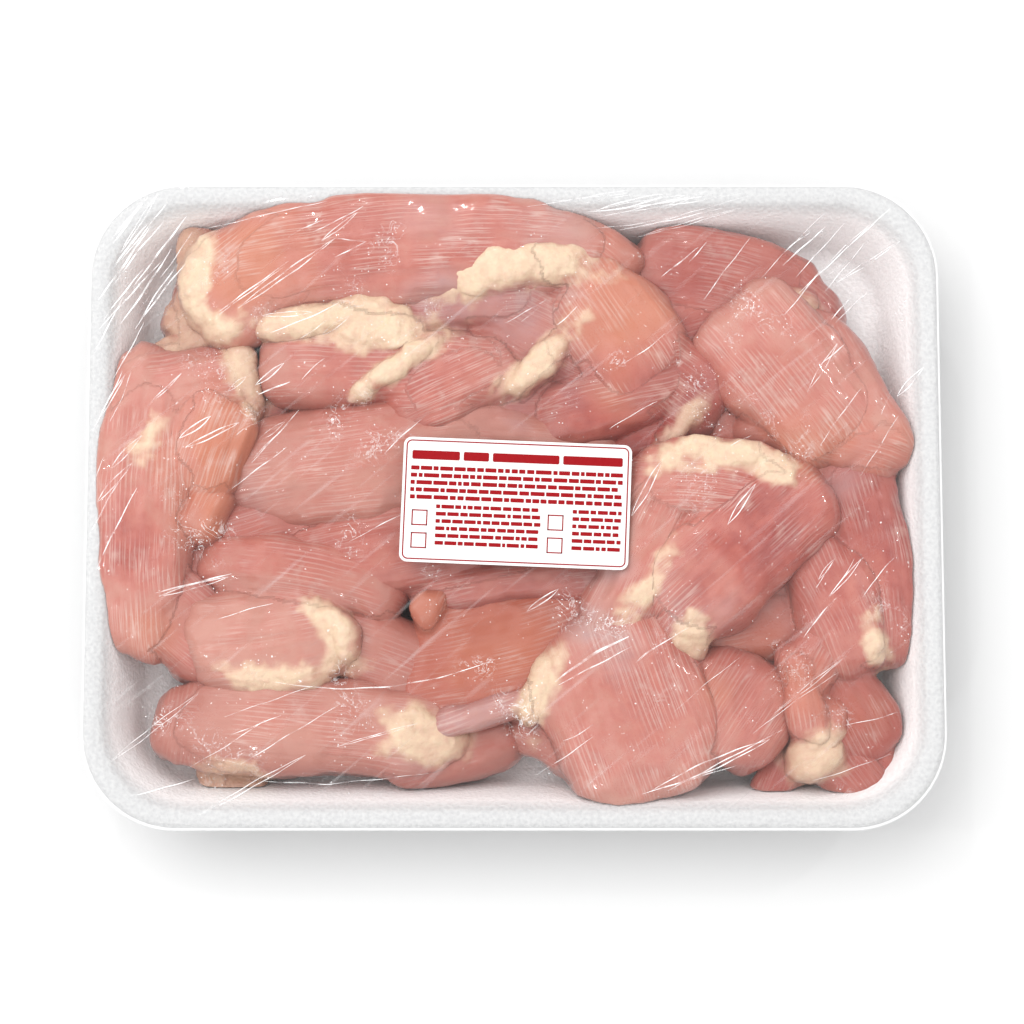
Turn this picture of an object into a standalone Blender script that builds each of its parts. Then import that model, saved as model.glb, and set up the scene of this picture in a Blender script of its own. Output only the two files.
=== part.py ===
"""Tray pack of raw boneless chicken thighs, wrapped in clear stretch film.

A white foam tray with rounded corners holds an absorbent pad and fourteen skinless thighs,
pressed side by side and partly over each other. Clear film is drawn over the meat and the rim,
runs tight down to the foot of the tray and folds under it. A plain label lies on the film.

Frame: the origin is under the middle of the pack, on the surface that it stands on. +X runs along
the tray's length, +Y towards its back and +Z up. Lengths are written in millimetres times MM.
"""

import math
from collections import namedtuple

import bmesh
import bpy
import numpy as np
from mathutils import Matrix

MM = 0.001

# Gap that every piece keeps to the next, what a cutter grows by to leave it, and the film's
# modelled thickness
GAP = 0.35 * MM
CUTTER_GROWTH = 0.5 * MM
FILM_THICKNESS = 0.3 * MM

# Foam tray: its outline at the rim, how much less the corners' radius shrinks than the outline
# when it is drawn in, and its section
TRAY_LENGTH = 272 * MM
TRAY_WIDTH = 206 * MM
TRAY_CORNER = 30 * MM
CORNER_STEPS = 5
CORNER_SHRINK = 0.55
TRAY_FOOT_Z = FILM_THICKNESS + GAP
TRAY_HEIGHT = 32 * MM
TRAY_TOP_Z = TRAY_FOOT_Z + TRAY_HEIGHT
FOAM_THICKNESS = 3.6 * MM
RIM_WIDTH = 6.5 * MM
RIM_LIP = 4.6 * MM
WALL_RUN = 12 * MM
FOOT_INSET = 15.5 * MM
FOOT_RING = 12 * MM
FOOT_RECESS = 1.2 * MM
FLOOR_Z = TRAY_FOOT_Z + FOOT_RECESS + FOAM_THICKNESS

# Absorbent pad on the tray's floor
PAD_LENGTH = 208 * MM
PAD_WIDTH = 106 * MM
PAD_THICKNESS = 1.5 * MM
PAD_CENTRE = (-9 * MM, 3 * MM)
PAD_CORNER = 5 * MM

# Meat: roundness of a lobe, its surface's unevenness, the facets round and along it, and the
# skin that is drawn over a thigh's joined lobes
LOBE_POWER = 2.5
LOBE_WOBBLE = 0.035
LOBE_ROUND, LOBE_ALONG = 24, 16
SKIN_STEP = 1.6 * MM
SKIN_TRIANGLE = 40 * MM * MM
RIM_OVERHANG = 2.5 * MM

# Film: its mesh, how far it clears the meat, where it turns over the rim, its fold under the
# tray, and the grid that its tension is worked out on
FILM_CORNER_CELLS = 3
FILM_LENGTH_CELLS = 16
FILM_WIDTH_CELLS = 11
FILM_CLEARANCE = 1.1 * MM
FILM_TURN = 1 * MM
FILM_FOLD = 20 * MM
TENSION_STEP = 4 * MM
TENSION_PASSES = 600

# Label
LABEL_LENGTH = 72 * MM
LABEL_WIDTH = 39.6 * MM
LABEL_THICKNESS = 0.3 * MM
LABEL_CORNER = 2.5 * MM
LABEL_CENTRE = (0.6 * MM, -1 * MM)
LABEL_HEADING = math.radians(-2.3)
LABEL_BED_Z = 39.2 * MM
LABEL_BED_MARGIN = 6 * MM

# One lobe is a muscle or a fat pad: a pillow of this length and width whose long axis points along
# heading (degrees from +X) and bows sideways by bend, from its base to its crown. Millimetres.
Lobe = namedtuple("Lobe", "name x y length width heading bend base crown")

# Thighs, those that lie on top of others first
THIGHS = {
    "thigh_centre_right": (
        Lobe("belly", 71, -14, 70, 38, 42, 0, 12, 40),
        Lobe("strip", 41, -18, 56, 26, 64, 0, 12, 37),
        Lobe("brow", 60, 3, 54, 26, -6, 2, 12, 38),
        Lobe("neck", 56, -32, 30, 20, 60, 0, 12, 37),
        Lobe("fat_crescent", 67, 12, 42, 8, -8, 4, 20, 38.5),
        Lobe("fat_strip", 42, -28, 24, 7, 55, 0, 26, 38),
        Lobe("fat_knee", 56, -43, 13, 11, 60, 0, 14, 35),
    ),
    "thigh_right_upper": (
        Lobe("belly", 87, 42, 62, 43, -52, 0, 8, 38),
        Lobe("flank", 106, 36, 62, 28, -58, 0, 8, 34),
        Lobe("roll", 98, 20, 56, 16, -8, 2, 8, 33.5),
        Lobe("inner", 76, 26, 32, 22, 20, 0, 6, 27),
    ),
    "thigh_back_centre": (
        Lobe("left_belly", -43, 44, 78, 29, -2, 0, 8, 35),
        Lobe("middle_belly", -19, 39, 50, 29, 24, 0, 8, 36),
        Lobe("orange_belly", 34, 55, 52, 38, -58, 0, 8, 37),
        Lobe("right_belly", 34, 34, 64, 28, 14, 0, 8, 35),
        Lobe("mauve_belly", 54, 38, 32, 28, -35, 0, 8, 34),
        Lobe("web", 8, 57, 46, 30, -25, 0, 8, 33),
        Lobe("upper_web", -14, 65, 62, 18, 6, 0, 8, 34),
        Lobe("fat_band", -59, 59, 46, 11, 8, 1, 20, 37),
        Lobe("fat_band_low", -42, 56, 32, 15, -6, 0, 20, 37),
        Lobe("fat_seam", -37, 43, 38, 6.5, 37, 1, 24, 38),
        Lobe("fat_top", 2, 74, 50, 15, 8, 2, 20, 38),
        Lobe("fat_low", 8, 45, 30, 9, 48, 0, 22, 38),
        Lobe("fat_end", 53, 23, 20, 6, 48, 0, 18, 34.5),
    ),
    "thigh_front_centre": (
        Lobe("belly", 36, -64, 62, 56, 110, 0, 8, 37),
        Lobe("under_roll", 22, -79, 50, 20, -24, 0, 6, 27),
        Lobe("right_belly", 70, -64, 34, 38, 55, 0, 6, 33),
        Lobe("fat_edge", 8, -58, 24, 8, 72, 0, 18, 35),
        Lobe("sinew", -8, -65, 36, 9, 18, 0, 18, 33),
    ),
    "thigh_front_left": (
        Lobe("upper_belly", -68, -24, 66, 22, -10, 3, 8, 33),
        Lobe("lower_belly", -77, -41, 54, 34, 8, -2, 8, 34),
        Lobe("skirt", -42, -47, 50, 26, -20, 0, 6, 29),
        Lobe("fat_hook", -58, -42, 20, 9, -62, 3, 22, 36),
        Lobe("fat_sweep", -70, -53, 32, 6.5, 10, -2, 18, 33),
    ),
    "thigh_left": (
        Lobe("column", -116, 2, 100, 34, 88, 3, 6, 35),
        Lobe("shoulder", -106, 36, 46, 28, 12, 0, 6, 33.5),
        Lobe("flap", -97, 20, 36, 28, 70, 0, 10, 36),
        Lobe("flap_tip", -98, -2, 20, 15, 60, 0, 12, 34),
        Lobe("foot", -107, -35, 48, 28, -38, 0, 6, 30),
        Lobe("web", -97, -20, 34, 14, 80, 0, 6, 27),
        Lobe("fat_neck", -86, 40, 28, 12, -66, 0, 12, 33),
        Lobe("fat_patch", -115, 22, 15, 8, 60, 0, 22, 34),
    ),
    "thigh_centre_pale": (
        Lobe("belly", -42, 12, 102, 42, 6, 2, 6, 34),
        Lobe("tail", 6, 20, 60, 20, -4, 0, 6, 33),
    ),
    "thigh_centre_red": (
        Lobe("belly", -32, -13, 112, 32, 10, 0, 6, 32),
        Lobe("ledge", 4, -24, 74, 17, 8, 0, 6, 32),
        Lobe("under_label", 6, 0, 62, 36, 0, 0, 6, 36),
        Lobe("left_end", -80, -9, 36, 24, 15, 0, 6, 29),
    ),
    "thigh_front_right": (
        Lobe("column", 91, -60, 36, 15, 98, 0, 10, 34),
        Lobe("lap", 105, -83, 28, 22, -50, 0, 6, 25),
        Lobe("scrap", 85, -86, 18, 14, 70, 0, 6, 22),
        Lobe("drip", 109, -94, 13, 7, -80, 0, 6, 17),
        Lobe("fat_lump", 96, -80, 20, 15, 20, 0, 10, 30),
    ),
    "thigh_back_left": (
        Lobe("belly", -38, 78, 138, 35, 4, 5, 6, 36),
        Lobe("knob", -86, 72, 44, 36, 40, 0, 6, 35),
        Lobe("pale_strip", -38, 70, 92, 22, 10, 2, 8, 33),
        Lobe("end_knob", 29, 82, 24, 17, -42, 0, 8, 31),
        Lobe("fat_left", -105, 73, 40, 13, 80, -2, 8, 27),
        Lobe("fat_corner", -104, 58, 20, 15, -50, 0, 8, 26),
        Lobe("fat_roll", -104, 51, 38, 9, 24, 2, 10, 27),
    ),
    "thigh_right_edge": (
        Lobe("belly", 109, -12, 82, 32, -78, 4, 6, 31),
        Lobe("shoulder", 88, 11, 40, 18, -12, 0, 6, 30),
        Lobe("inner_belly", 102, -31, 50, 28, -66, 0, 8, 34),
        Lobe("tail", 106, -62, 46, 26, -62, 0, 6, 27),
        Lobe("edge_strip", 116, -80, 30, 13, -80, 0, 6, 22),
        Lobe("fat", 114, -44, 17, 7, -70, 0, 18, 31),
        Lobe("scraps", 77, -40, 36, 20, 10, 0, 6, 27),
    ),
    "thigh_centre_front": (
        Lobe("belly", -5, -44, 68, 38, 14, -2, 6, 31),
        Lobe("ledge", -14, -59, 46, 14, -10, 0, 6, 26),
        Lobe("knob", -27, -33, 14, 11, 60, 0, 18, 33),
    ),
    "thigh_front_roll": (
        Lobe("belly", -62, -71, 98, 33, -5, 1, 6, 31),
        Lobe("cut_end", -100, -70, 26, 28, 80, 0, 6, 27),
        Lobe("tip", -19, -78, 46, 18, 14, 0, 6, 26),
        Lobe("fat_pad", -27, -74, 28, 17, -8, 0, 12, 31),
        Lobe("fat_flap", -90, -89, 22, 16, 0, 0, 4, 17),
    ),
    "thigh_back_right": (
        Lobe("belly", 67, 74, 60, 29, -12, 2, 6, 29),
        Lobe("flank", 90, 66, 42, 22, -40, 2, 6, 27),
        Lobe("inner", 58, 60, 32, 20, 15, 0, 6, 29),
        Lobe("fat", 90, 65, 16, 7, -10, 0, 14, 31),
    ),
}

# Colour, roughness and metallic value of each material
FOAM = ("white_foam", (0.93, 0.93, 0.92), 0.7)
PAD = ("absorbent_pad", (0.60, 0.66, 0.70), 0.9)
MEAT = ("raw_chicken", (0.80, 0.42, 0.36), 0.3)
FILM = ("clear_film", (0.92, 0.95, 0.97), 0.08)
PAPER = ("label_paper", (0.94, 0.93, 0.92), 0.45)


def clear_scene():
    for obj in list(bpy.data.objects):
        bpy.data.objects.remove(obj, do_unlink=True)


def new_collection(name, rendered=True):
    collection = bpy.data.collections.new(name)
    bpy.context.scene.collection.children.link(collection)
    collection.hide_render = not rendered
    return collection


def material(look):
    name, colour, roughness = look
    made = bpy.data.materials.get(name) or bpy.data.materials.new(name)
    made.use_nodes = True
    shader = made.node_tree.nodes["Principled BSDF"]
    shader.inputs["Base Color"].default_value = (*colour, 1.0)
    shader.inputs["Roughness"].default_value = roughness
    shader.inputs["Metallic"].default_value = 0.0
    made.diffuse_color = (*colour, 1.0)
    return made


def object_from(name, mesh, collection, look=None):
    obj = bpy.data.objects.new(name, mesh)
    collection.objects.link(obj)
    if look:
        mesh.materials.clear()
        mesh.materials.append(material(look))
    return obj


def mesh_from(name, bm):
    bmesh.ops.recalc_face_normals(bm, faces=bm.faces)
    mesh = bpy.data.meshes.new(name)
    bm.to_mesh(mesh)
    bm.free()
    return mesh


def shade_soft(obj, degrees=50):
    obj.data.shade_smooth()
    obj.data.set_sharp_from_angle(angle=math.radians(degrees))


def apply_modifiers(obj):
    """Bakes the object's modifiers into its own mesh."""
    graph = bpy.context.evaluated_depsgraph_get()
    baked = bpy.data.meshes.new_from_object(obj.evaluated_get(graph))
    obj.modifiers.clear()
    obj.data = baked


def combine(obj, operation, others):
    """Joins, cuts or trims obj with each of the other objects, one Boolean after the other."""
    for other in others:
        boolean = obj.modifiers.new(operation.title(), "BOOLEAN")
        boolean.operation = operation
        boolean.solver = "EXACT"
        boolean.object = other
    apply_modifiers(obj)


def union_of(objects, collection_name):
    """One Boolean union of the first object with a collection of the others, which is then removed."""
    first, rest = objects[0], objects[1:]
    if rest:
        group = new_collection(collection_name, rendered=False)
        for obj in rest:
            for owner in list(obj.users_collection):
                owner.objects.unlink(obj)
            group.objects.link(obj)
        boolean = first.modifiers.new("Union", "BOOLEAN")
        boolean.operation = "UNION"
        boolean.solver = "EXACT"
        boolean.operand_type = "COLLECTION"
        boolean.collection = group
        apply_modifiers(first)
        for obj in rest:
            bpy.data.objects.remove(obj, do_unlink=True)
        bpy.data.collections.remove(group)
    return first


def islands(bm):
    """The mesh's separate pieces, each as a list of faces."""
    left, found = set(bm.faces), []
    while left:
        stack, piece = [left.pop()], []
        while stack:
            face = stack.pop()
            piece.append(face)
            for edge in face.edges:
                for other in edge.link_faces:
                    if other in left:
                        left.remove(other)
                        stack.append(other)
        found.append(piece)
    return found


def keep_largest_piece(obj):
    """Drops the loose scraps that a cut has left, and welds what a cut has split finely."""
    bm = bmesh.new()
    bm.from_mesh(obj.data)
    bmesh.ops.remove_doubles(bm, verts=bm.verts, dist=0.02 * MM)
    pieces = sorted(islands(bm), key=lambda faces: sum(f.calc_area() for f in faces))
    for piece in pieces[:-1]:
        bmesh.ops.delete(bm, geom=piece, context="FACES")
    bmesh.ops.triangulate(bm, faces=bm.faces)
    bm.to_mesh(obj.data)
    bm.free()


# Rounded rectangles

def corner_round(s, t, half_length, half_width, radius):
    """Maps the square -1..1 by -1..1 onto a rounded rectangle, ring by ring from the middle."""
    ring = max(abs(s), abs(t))
    if ring == 0:
        return 0.0, 0.0
    x, y = abs(s) / ring * half_length, abs(t) / ring * half_width
    over_x = (x - (half_length - radius)) / radius
    over_y = (y - (half_width - radius)) / radius
    if over_x > 0 and over_y > 0:
        turn = math.pi / 4 * (over_y if over_x >= over_y else 2 - over_x)
        x = half_length - radius + radius * math.cos(turn)
        y = half_width - radius + radius * math.sin(turn)
    return math.copysign(x * ring, s), math.copysign(y * ring, t)


def lines_across(half_side, radius, corner_cells, middle_cells):
    """Grid lines from -1 to 1, close together where the corners turn."""
    turn = 1 - radius / half_side
    edge = np.linspace(turn, 1, corner_cells + 1)
    middle = np.linspace(-turn, turn, middle_cells + 1)
    return np.concatenate([-edge[::-1], middle[1:-1], edge])


def perimeter(corner_cells, length_cells=1, width_cells=1):
    """Points round the square's edge, counter-clockwise, that corner_round turns into a ring."""
    radius = TRAY_CORNER
    along_x = lines_across(TRAY_LENGTH / 2, radius, corner_cells, length_cells)
    along_y = lines_across(TRAY_WIDTH / 2, radius, corner_cells, width_cells)
    bottom = [(s, -1.0) for s in along_x[:-1]]
    right = [(1.0, t) for t in along_y[:-1]]
    top = [(s, 1.0) for s in along_x[:0:-1]]
    left = [(-1.0, t) for t in along_y[:0:-1]]
    return bottom + right + top + left


def tray_ring(points, inset, height):
    """The tray's plan outline, drawn in by inset, at one height."""
    half_length = TRAY_LENGTH / 2 - inset
    half_width = TRAY_WIDTH / 2 - inset
    radius = TRAY_CORNER - CORNER_SHRINK * inset
    return [(*corner_round(s, t, half_length, half_width, radius), height) for s, t in points]


def loft(name, stations, points):
    """Skins the tray's outline through (inset, height) stations, with a flat face at each end."""
    bm = bmesh.new()
    rings = [[bm.verts.new(p) for p in tray_ring(points, inset, height)] for inset, height in stations]
    for lower, upper in zip(rings, rings[1:]):
        for k in range(len(points)):
            after = (k + 1) % len(points)
            bm.faces.new((lower[k], lower[after], upper[after], upper[k]))
    bm.faces.new(rings[0][::-1])
    bm.faces.new(rings[-1])
    return mesh_from(name, bm)


# Foam tray

def tray_profile():
    """Stations from the middle of the underside, out and up to the rim, and down to the floor."""
    top = TRAY_TOP_Z
    lip = top - RIM_LIP
    underside = [
        (FOOT_INSET + FOOT_RING + 1.5 * MM, TRAY_FOOT_Z + FOOT_RECESS),
        (FOOT_INSET + FOOT_RING, TRAY_FOOT_Z),
        (FOOT_INSET + 1.2 * MM, TRAY_FOOT_Z),
        (FOOT_INSET, TRAY_FOOT_Z + 0.8 * MM),
        (FOOT_INSET - 1.6 * MM, TRAY_FOOT_Z + 4 * MM),
        (RIM_WIDTH - 0.5 * MM, lip - 3 * MM),
        (RIM_WIDTH - 1.3 * MM, lip + 0.4 * MM),
        (RIM_WIDTH - 2.3 * MM, lip + 1.4 * MM),
        (2.4 * MM, lip + 1.2 * MM),
        (1.2 * MM, lip),
        (0.3 * MM, lip + 0.3 * MM),
        (0.0, lip + 1.6 * MM),
        (0.2 * MM, top - 1.3 * MM),
        (1.4 * MM, top - 0.2 * MM),
        (2.6 * MM, top),
    ]
    inside = [
        (RIM_WIDTH - 1.4 * MM, top),
        (RIM_WIDTH, top - 0.8 * MM),
        (RIM_WIDTH + 0.9 * MM, top - 2.6 * MM),
        (RIM_WIDTH + WALL_RUN - 3.5 * MM, FLOOR_Z + 5 * MM),
        (RIM_WIDTH + WALL_RUN - 1.6 * MM, FLOOR_Z + 1.8 * MM),
        (RIM_WIDTH + WALL_RUN + 1.5 * MM, FLOOR_Z),
    ]
    return underside, inside


def build_tray(collection):
    underside, inside = tray_profile()
    mesh = loft("foam_tray", underside + inside, perimeter(CORNER_STEPS))
    tray = object_from("foam_tray", mesh, collection, FOAM)
    shade_soft(tray, 35)
    return tray


def build_room_for_meat(collection):
    """The space that the meat may fill: the tray's hollow less the gap, and a little over its rim."""
    _, inside = tray_profile()
    walls = [(inset + GAP, height + GAP) for inset, height in reversed(inside)]
    above = [(RIM_OVERHANG, TRAY_TOP_Z + GAP), (RIM_OVERHANG, TRAY_TOP_Z + TRAY_HEIGHT)]
    mesh = loft("room_for_meat", walls + above, perimeter(CORNER_STEPS))
    room = object_from("room_for_meat", mesh, collection)
    room.hide_render = True
    room.display_type = "WIRE"
    return room


# Absorbent pad

def build_pad(collection, name="absorbent_pad", grow=0.0, look=PAD):
    """A thin quilted pad, as a bevelled slab. With grow it is the cutter that clears it."""
    bm = bmesh.new()
    bmesh.ops.create_cube(bm, size=1.0)
    size = (PAD_LENGTH + 2 * grow, PAD_WIDTH + 2 * grow, PAD_THICKNESS + 2 * grow)
    bmesh.ops.scale(bm, vec=size, verts=bm.verts)
    upright = [e for e in bm.edges if abs(e.verts[0].co.z - e.verts[1].co.z) > size[2] / 2]
    bmesh.ops.bevel(bm, geom=upright, offset=PAD_CORNER, segments=4, profile=0.5, affect="EDGES")
    middle = FLOOR_Z + GAP + PAD_THICKNESS / 2
    bmesh.ops.translate(bm, vec=(*PAD_CENTRE, middle), verts=bm.verts)
    pad = object_from(name, mesh_from(name, bm), collection, look)
    shade_soft(pad, 30)
    return pad


# Meat

def bulge(point, power):
    """Pushes a point of the unit sphere out onto the fuller pillow |x|^p + |y|^p + |z|^p = 1."""
    reach = sum(abs(c) ** power for c in point) ** (1 / power)
    return point / reach


def lobe_point(lobe, number, point):
    """Where a point of the unit sphere lies on a lobe. Number sets the phase of its unevenness."""
    along, across, up = bulge(point, LOBE_POWER)
    phase = 2.4 * number
    uneven = 1 + LOBE_WOBBLE * (
        math.sin(3.1 * along + phase) * math.cos(2.3 * across - phase)
        + 0.6 * math.sin(5.3 * along * across + 1.7 * phase)
    )
    half_length = lobe.length * MM / 2
    half_width = lobe.width * MM / 2
    half_height = (lobe.crown - lobe.base) * MM / 2
    bow = lobe.bend * MM * (1 - along * along)
    x = half_length * along * uneven
    y = half_width * across * uneven + bow
    z = half_height * up + (lobe.crown + lobe.base) * MM / 2
    turn = math.radians(lobe.heading)
    return (
        lobe.x * MM + x * math.cos(turn) - y * math.sin(turn),
        lobe.y * MM + x * math.sin(turn) + y * math.cos(turn),
        z,
    )


def build_lobe(lobe, number, collection):
    """A round primitive with its poles at the lobe's two ends, shaped into the muscle or fat pad."""
    bm = bmesh.new()
    upright_to_along = Matrix.Rotation(math.pi / 2, 4, "Y")
    bmesh.ops.create_uvsphere(
        bm, u_segments=LOBE_ROUND, v_segments=LOBE_ALONG, radius=1.0, matrix=upright_to_along
    )
    for vert in bm.verts:
        vert.co = lobe_point(lobe, number, vert.co.copy())
    return object_from(lobe.name, mesh_from(lobe.name, bm), collection)


def build_thigh(name, collection):
    """The muscles and fat pads of one thigh, joined under one even skin."""
    lobes = [build_lobe(lobe, k, collection) for k, lobe in enumerate(THIGHS[name])]
    thigh = union_of(lobes, "lobes_of_" + name)
    thigh.name = name
    skin = thigh.modifiers.new("Skin", "REMESH")
    skin.mode = "VOXEL"
    skin.voxel_size = SKIN_STEP
    apply_modifiers(thigh)
    area = sum(face.area for face in thigh.data.polygons)
    coarse = thigh.modifiers.new("Facets", "DECIMATE")
    coarse.use_collapse_triangulate = True
    coarse.ratio = area / SKIN_TRIANGLE / (2 * len(thigh.data.polygons))
    apply_modifiers(thigh)
    return thigh


def clearance_cutter(thigh, collection):
    """The thigh, grown by the gap, to cut the thighs that lie under it."""
    cutter = object_from("cutter_" + thigh.name, thigh.data.copy(), collection)
    cutter.hide_render = True
    cutter.display_type = "WIRE"
    grown = cutter.modifiers.new("Gap", "DISPLACE")
    grown.strength = CUTTER_GROWTH
    grown.mid_level = 0.0
    apply_modifiers(cutter)
    return cutter


def near(first, second):
    """True if the plan boxes of two thighs' lobes could meet."""
    def reach(name):
        lobes = THIGHS[name]
        spans = [(lb.x, lb.y, max(lb.length, lb.width) / 2 + abs(lb.bend) + 1) for lb in lobes]
        return (
            min(x - r for x, _, r in spans), max(x + r for x, _, r in spans),
            min(y - r for _, y, r in spans), max(y + r for _, y, r in spans),
        )
    a, b = reach(first), reach(second)
    return a[0] < b[1] and b[0] < a[1] and a[2] < b[3] and b[2] < a[3]


def build_meat(collection, helpers):
    """Each thigh keeps inside the tray, off the pad, and clear of the thighs that lie over it."""
    room = build_room_for_meat(helpers)
    pad_cutter = build_pad(helpers, "pad_cutter", grow=GAP, look=None)
    pad_cutter.hide_render = True
    pad_cutter.display_type = "WIRE"
    above = {}
    for name in THIGHS:
        thigh = build_thigh(name, collection)
        cutter = clearance_cutter(thigh, helpers)
        combine(thigh, "INTERSECT", [room])
        combine(thigh, "DIFFERENCE", [pad_cutter] + [above[n] for n in above if near(name, n)])
        keep_largest_piece(thigh)
        thigh.data.name = name
        thigh.data.materials.clear()
        thigh.data.materials.append(material(MEAT))
        shade_soft(thigh)
        above[name] = cutter


# Film

def meat_height(x, y):
    """Height of the meat's top over a grid of plan points, from the lobes' own formula."""
    top = np.full_like(x, FLOOR_Z)
    for lobes in THIGHS.values():
        for lobe in lobes:
            turn = math.radians(lobe.heading)
            dx, dy = x - lobe.x * MM, y - lobe.y * MM
            along = (dx * math.cos(turn) + dy * math.sin(turn)) / (lobe.length * MM / 2)
            side = dy * math.cos(turn) - dx * math.sin(turn)
            bow = lobe.bend * MM * (1 - np.clip(along, -1, 1) ** 2)
            across = (side - bow) / (lobe.width * MM / 2)
            left = 1 - np.abs(along) ** LOBE_POWER - np.abs(across) ** LOBE_POWER
            up = np.clip(left, 0, None) ** (1 / LOBE_POWER)
            height = (lobe.crown + lobe.base) / 2 + (lobe.crown - lobe.base) / 2 * up
            top = np.where(left > 0, np.maximum(top, height * MM), top)
    return top


def label_bed(x, y, margin=0.0):
    """True where the label, and a margin round it, holds the film flat."""
    dx, dy = x - LABEL_CENTRE[0], y - LABEL_CENTRE[1]
    along = dx * math.cos(LABEL_HEADING) + dy * math.sin(LABEL_HEADING)
    side = dy * math.cos(LABEL_HEADING) - dx * math.sin(LABEL_HEADING)
    return (np.abs(along) < LABEL_LENGTH / 2 + margin) & (np.abs(side) < LABEL_WIDTH / 2 + margin)


def widest(height, cells):
    """Each grid value raised to the largest within so many cells of it."""
    raised = height.copy()
    for dx in range(-cells, cells + 1):
        for dy in range(-cells, cells + 1):
            raised = np.maximum(raised, np.roll(np.roll(height, dx, 0), dy, 1))
    return raised


def stretched_film():
    """Heights of a tight sheet over the meat and the rim, on a square grid, with its grid lines."""
    xs = np.arange(-TRAY_LENGTH / 2 - TENSION_STEP, TRAY_LENGTH / 2 + 2 * TENSION_STEP, TENSION_STEP)
    ys = np.arange(-TRAY_WIDTH / 2 - TENSION_STEP, TRAY_WIDTH / 2 + 2 * TENSION_STEP, TENSION_STEP)
    x, y = np.meshgrid(xs, ys, indexing="ij")
    rim_top = TRAY_TOP_Z + GAP + FILM_THICKNESS
    meat = widest(meat_height(x, y), 1) + FILM_CLEARANCE
    inside = (np.abs(x) < TRAY_LENGTH / 2 - RIM_WIDTH) & (np.abs(y) < TRAY_WIDTH / 2 - RIM_WIDTH)
    under = np.where(inside, meat, np.maximum(rim_top, np.where(meat > rim_top, meat, 0)))
    bed = label_bed(x, y, LABEL_BED_MARGIN)
    film = np.maximum(under, rim_top)
    for _ in range(TENSION_PASSES):
        mean = (
            np.roll(film, 1, 0) + np.roll(film, -1, 0) + np.roll(film, 1, 1) + np.roll(film, -1, 1)
        ) / 4
        film = np.where(inside, np.maximum(mean, under), under)
        film[bed] = LABEL_BED_Z
    return xs, ys, film


def height_at(xs, ys, heights, x, y):
    """Reads a square grid of heights between its points."""
    column = min(max((x - xs[0]) / TENSION_STEP, 0), len(xs) - 1.001)
    row = min(max((y - ys[0]) / TENSION_STEP, 0), len(ys) - 1.001)
    i, j = int(column), int(row)
    a, b = column - i, row - j
    near_side = heights[i, j] * (1 - a) + heights[i + 1, j] * a
    far_side = heights[i, j + 1] * (1 - a) + heights[i + 1, j + 1] * a
    return near_side * (1 - b) + far_side * b


def build_film(collection):
    """One open sheet over the pack and round to its underside, thickened inwards."""
    xs, ys, heights = stretched_film()
    along_x = lines_across(TRAY_LENGTH / 2, TRAY_CORNER, FILM_CORNER_CELLS, FILM_LENGTH_CELLS)
    along_y = lines_across(TRAY_WIDTH / 2, TRAY_CORNER, FILM_CORNER_CELLS, FILM_WIDTH_CELLS)
    bm = bmesh.new()
    rows = {}
    half_length, half_width = TRAY_LENGTH / 2 - FILM_TURN, TRAY_WIDTH / 2 - FILM_TURN
    for t in along_y:
        for s in along_x:
            x, y = corner_round(s, t, half_length, half_width, TRAY_CORNER)
            z = height_at(xs, ys, heights, x, y)
            rows[s, t] = bm.verts.new((x, y, z))
    for t, t_next in zip(along_y, along_y[1:]):
        for s, s_next in zip(along_x, along_x[1:]):
            bm.faces.new((rows[s, t], rows[s_next, t], rows[s_next, t_next], rows[s, t_next]))
    points = perimeter(FILM_CORNER_CELLS, FILM_LENGTH_CELLS, FILM_WIDTH_CELLS)
    lip_top = TRAY_TOP_Z - 1.6 * MM
    lip_bottom = TRAY_TOP_Z - RIM_LIP
    foot = FOOT_INSET - 2.2 * MM
    clear = GAP + FILM_THICKNESS
    stations = [(-clear, lip_top), (-clear, lip_bottom), (foot, 0.0), (foot + FILM_FOLD, 0.0)]
    ring = [rows[point] for point in points]
    for inset, height in stations:
        below = [bm.verts.new(p) for p in tray_ring(points, inset, height)]
        for k in range(len(points)):
            after = (k + 1) % len(points)
            bm.faces.new((below[k], below[after], ring[after], ring[k]))
        ring = below
    film = object_from("film", mesh_from("film", bm), collection, FILM)
    skin = film.modifiers.new("Thickness", "SOLIDIFY")
    skin.thickness = FILM_THICKNESS
    skin.offset = -1.0
    skin.use_even_offset = True
    apply_modifiers(film)
    film.data.materials.clear()
    film.data.materials.append(material(FILM))
    shade_soft(film, 60)
    return film


# Label

def build_label(collection):
    """A flat slip with round corners, lying on the film."""
    bm = bmesh.new()
    bmesh.ops.create_cube(bm, size=1.0)
    bmesh.ops.scale(bm, vec=(LABEL_LENGTH, LABEL_WIDTH, LABEL_THICKNESS), verts=bm.verts)
    upright = [e for e in bm.edges if abs(e.verts[0].co.z - e.verts[1].co.z) > LABEL_THICKNESS / 2]
    bmesh.ops.bevel(bm, geom=upright, offset=LABEL_CORNER, segments=4, profile=0.5, affect="EDGES")
    label = object_from("label", mesh_from("label", bm), collection, PAPER)
    label.location = (*LABEL_CENTRE, LABEL_BED_Z + GAP + LABEL_THICKNESS / 2)
    label.rotation_euler = (0, 0, LABEL_HEADING)
    return label


def main():
    clear_scene()
    pack = new_collection("chicken_thigh_tray_pack")
    helpers = new_collection("helpers", rendered=False)
    build_tray(pack)
    build_pad(pack)
    build_meat(pack, helpers)
    build_film(pack)
    build_label(pack)


main()
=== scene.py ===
# %% [markdown]
# # A tray pack of raw chicken thighs
#
# This lesson dresses a shop pack of boned, skinned chicken thighs. The real pack is a white foam
# tray with an absorbent pad, fourteen thighs pressed side by side, clear stretch film drawn over
# them and tucked under the foot, and a paper label stuck on top. The solid model of it is loaded
# first and stays where it is. Every piece made below is fitted to it and then stands in for it.

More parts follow.
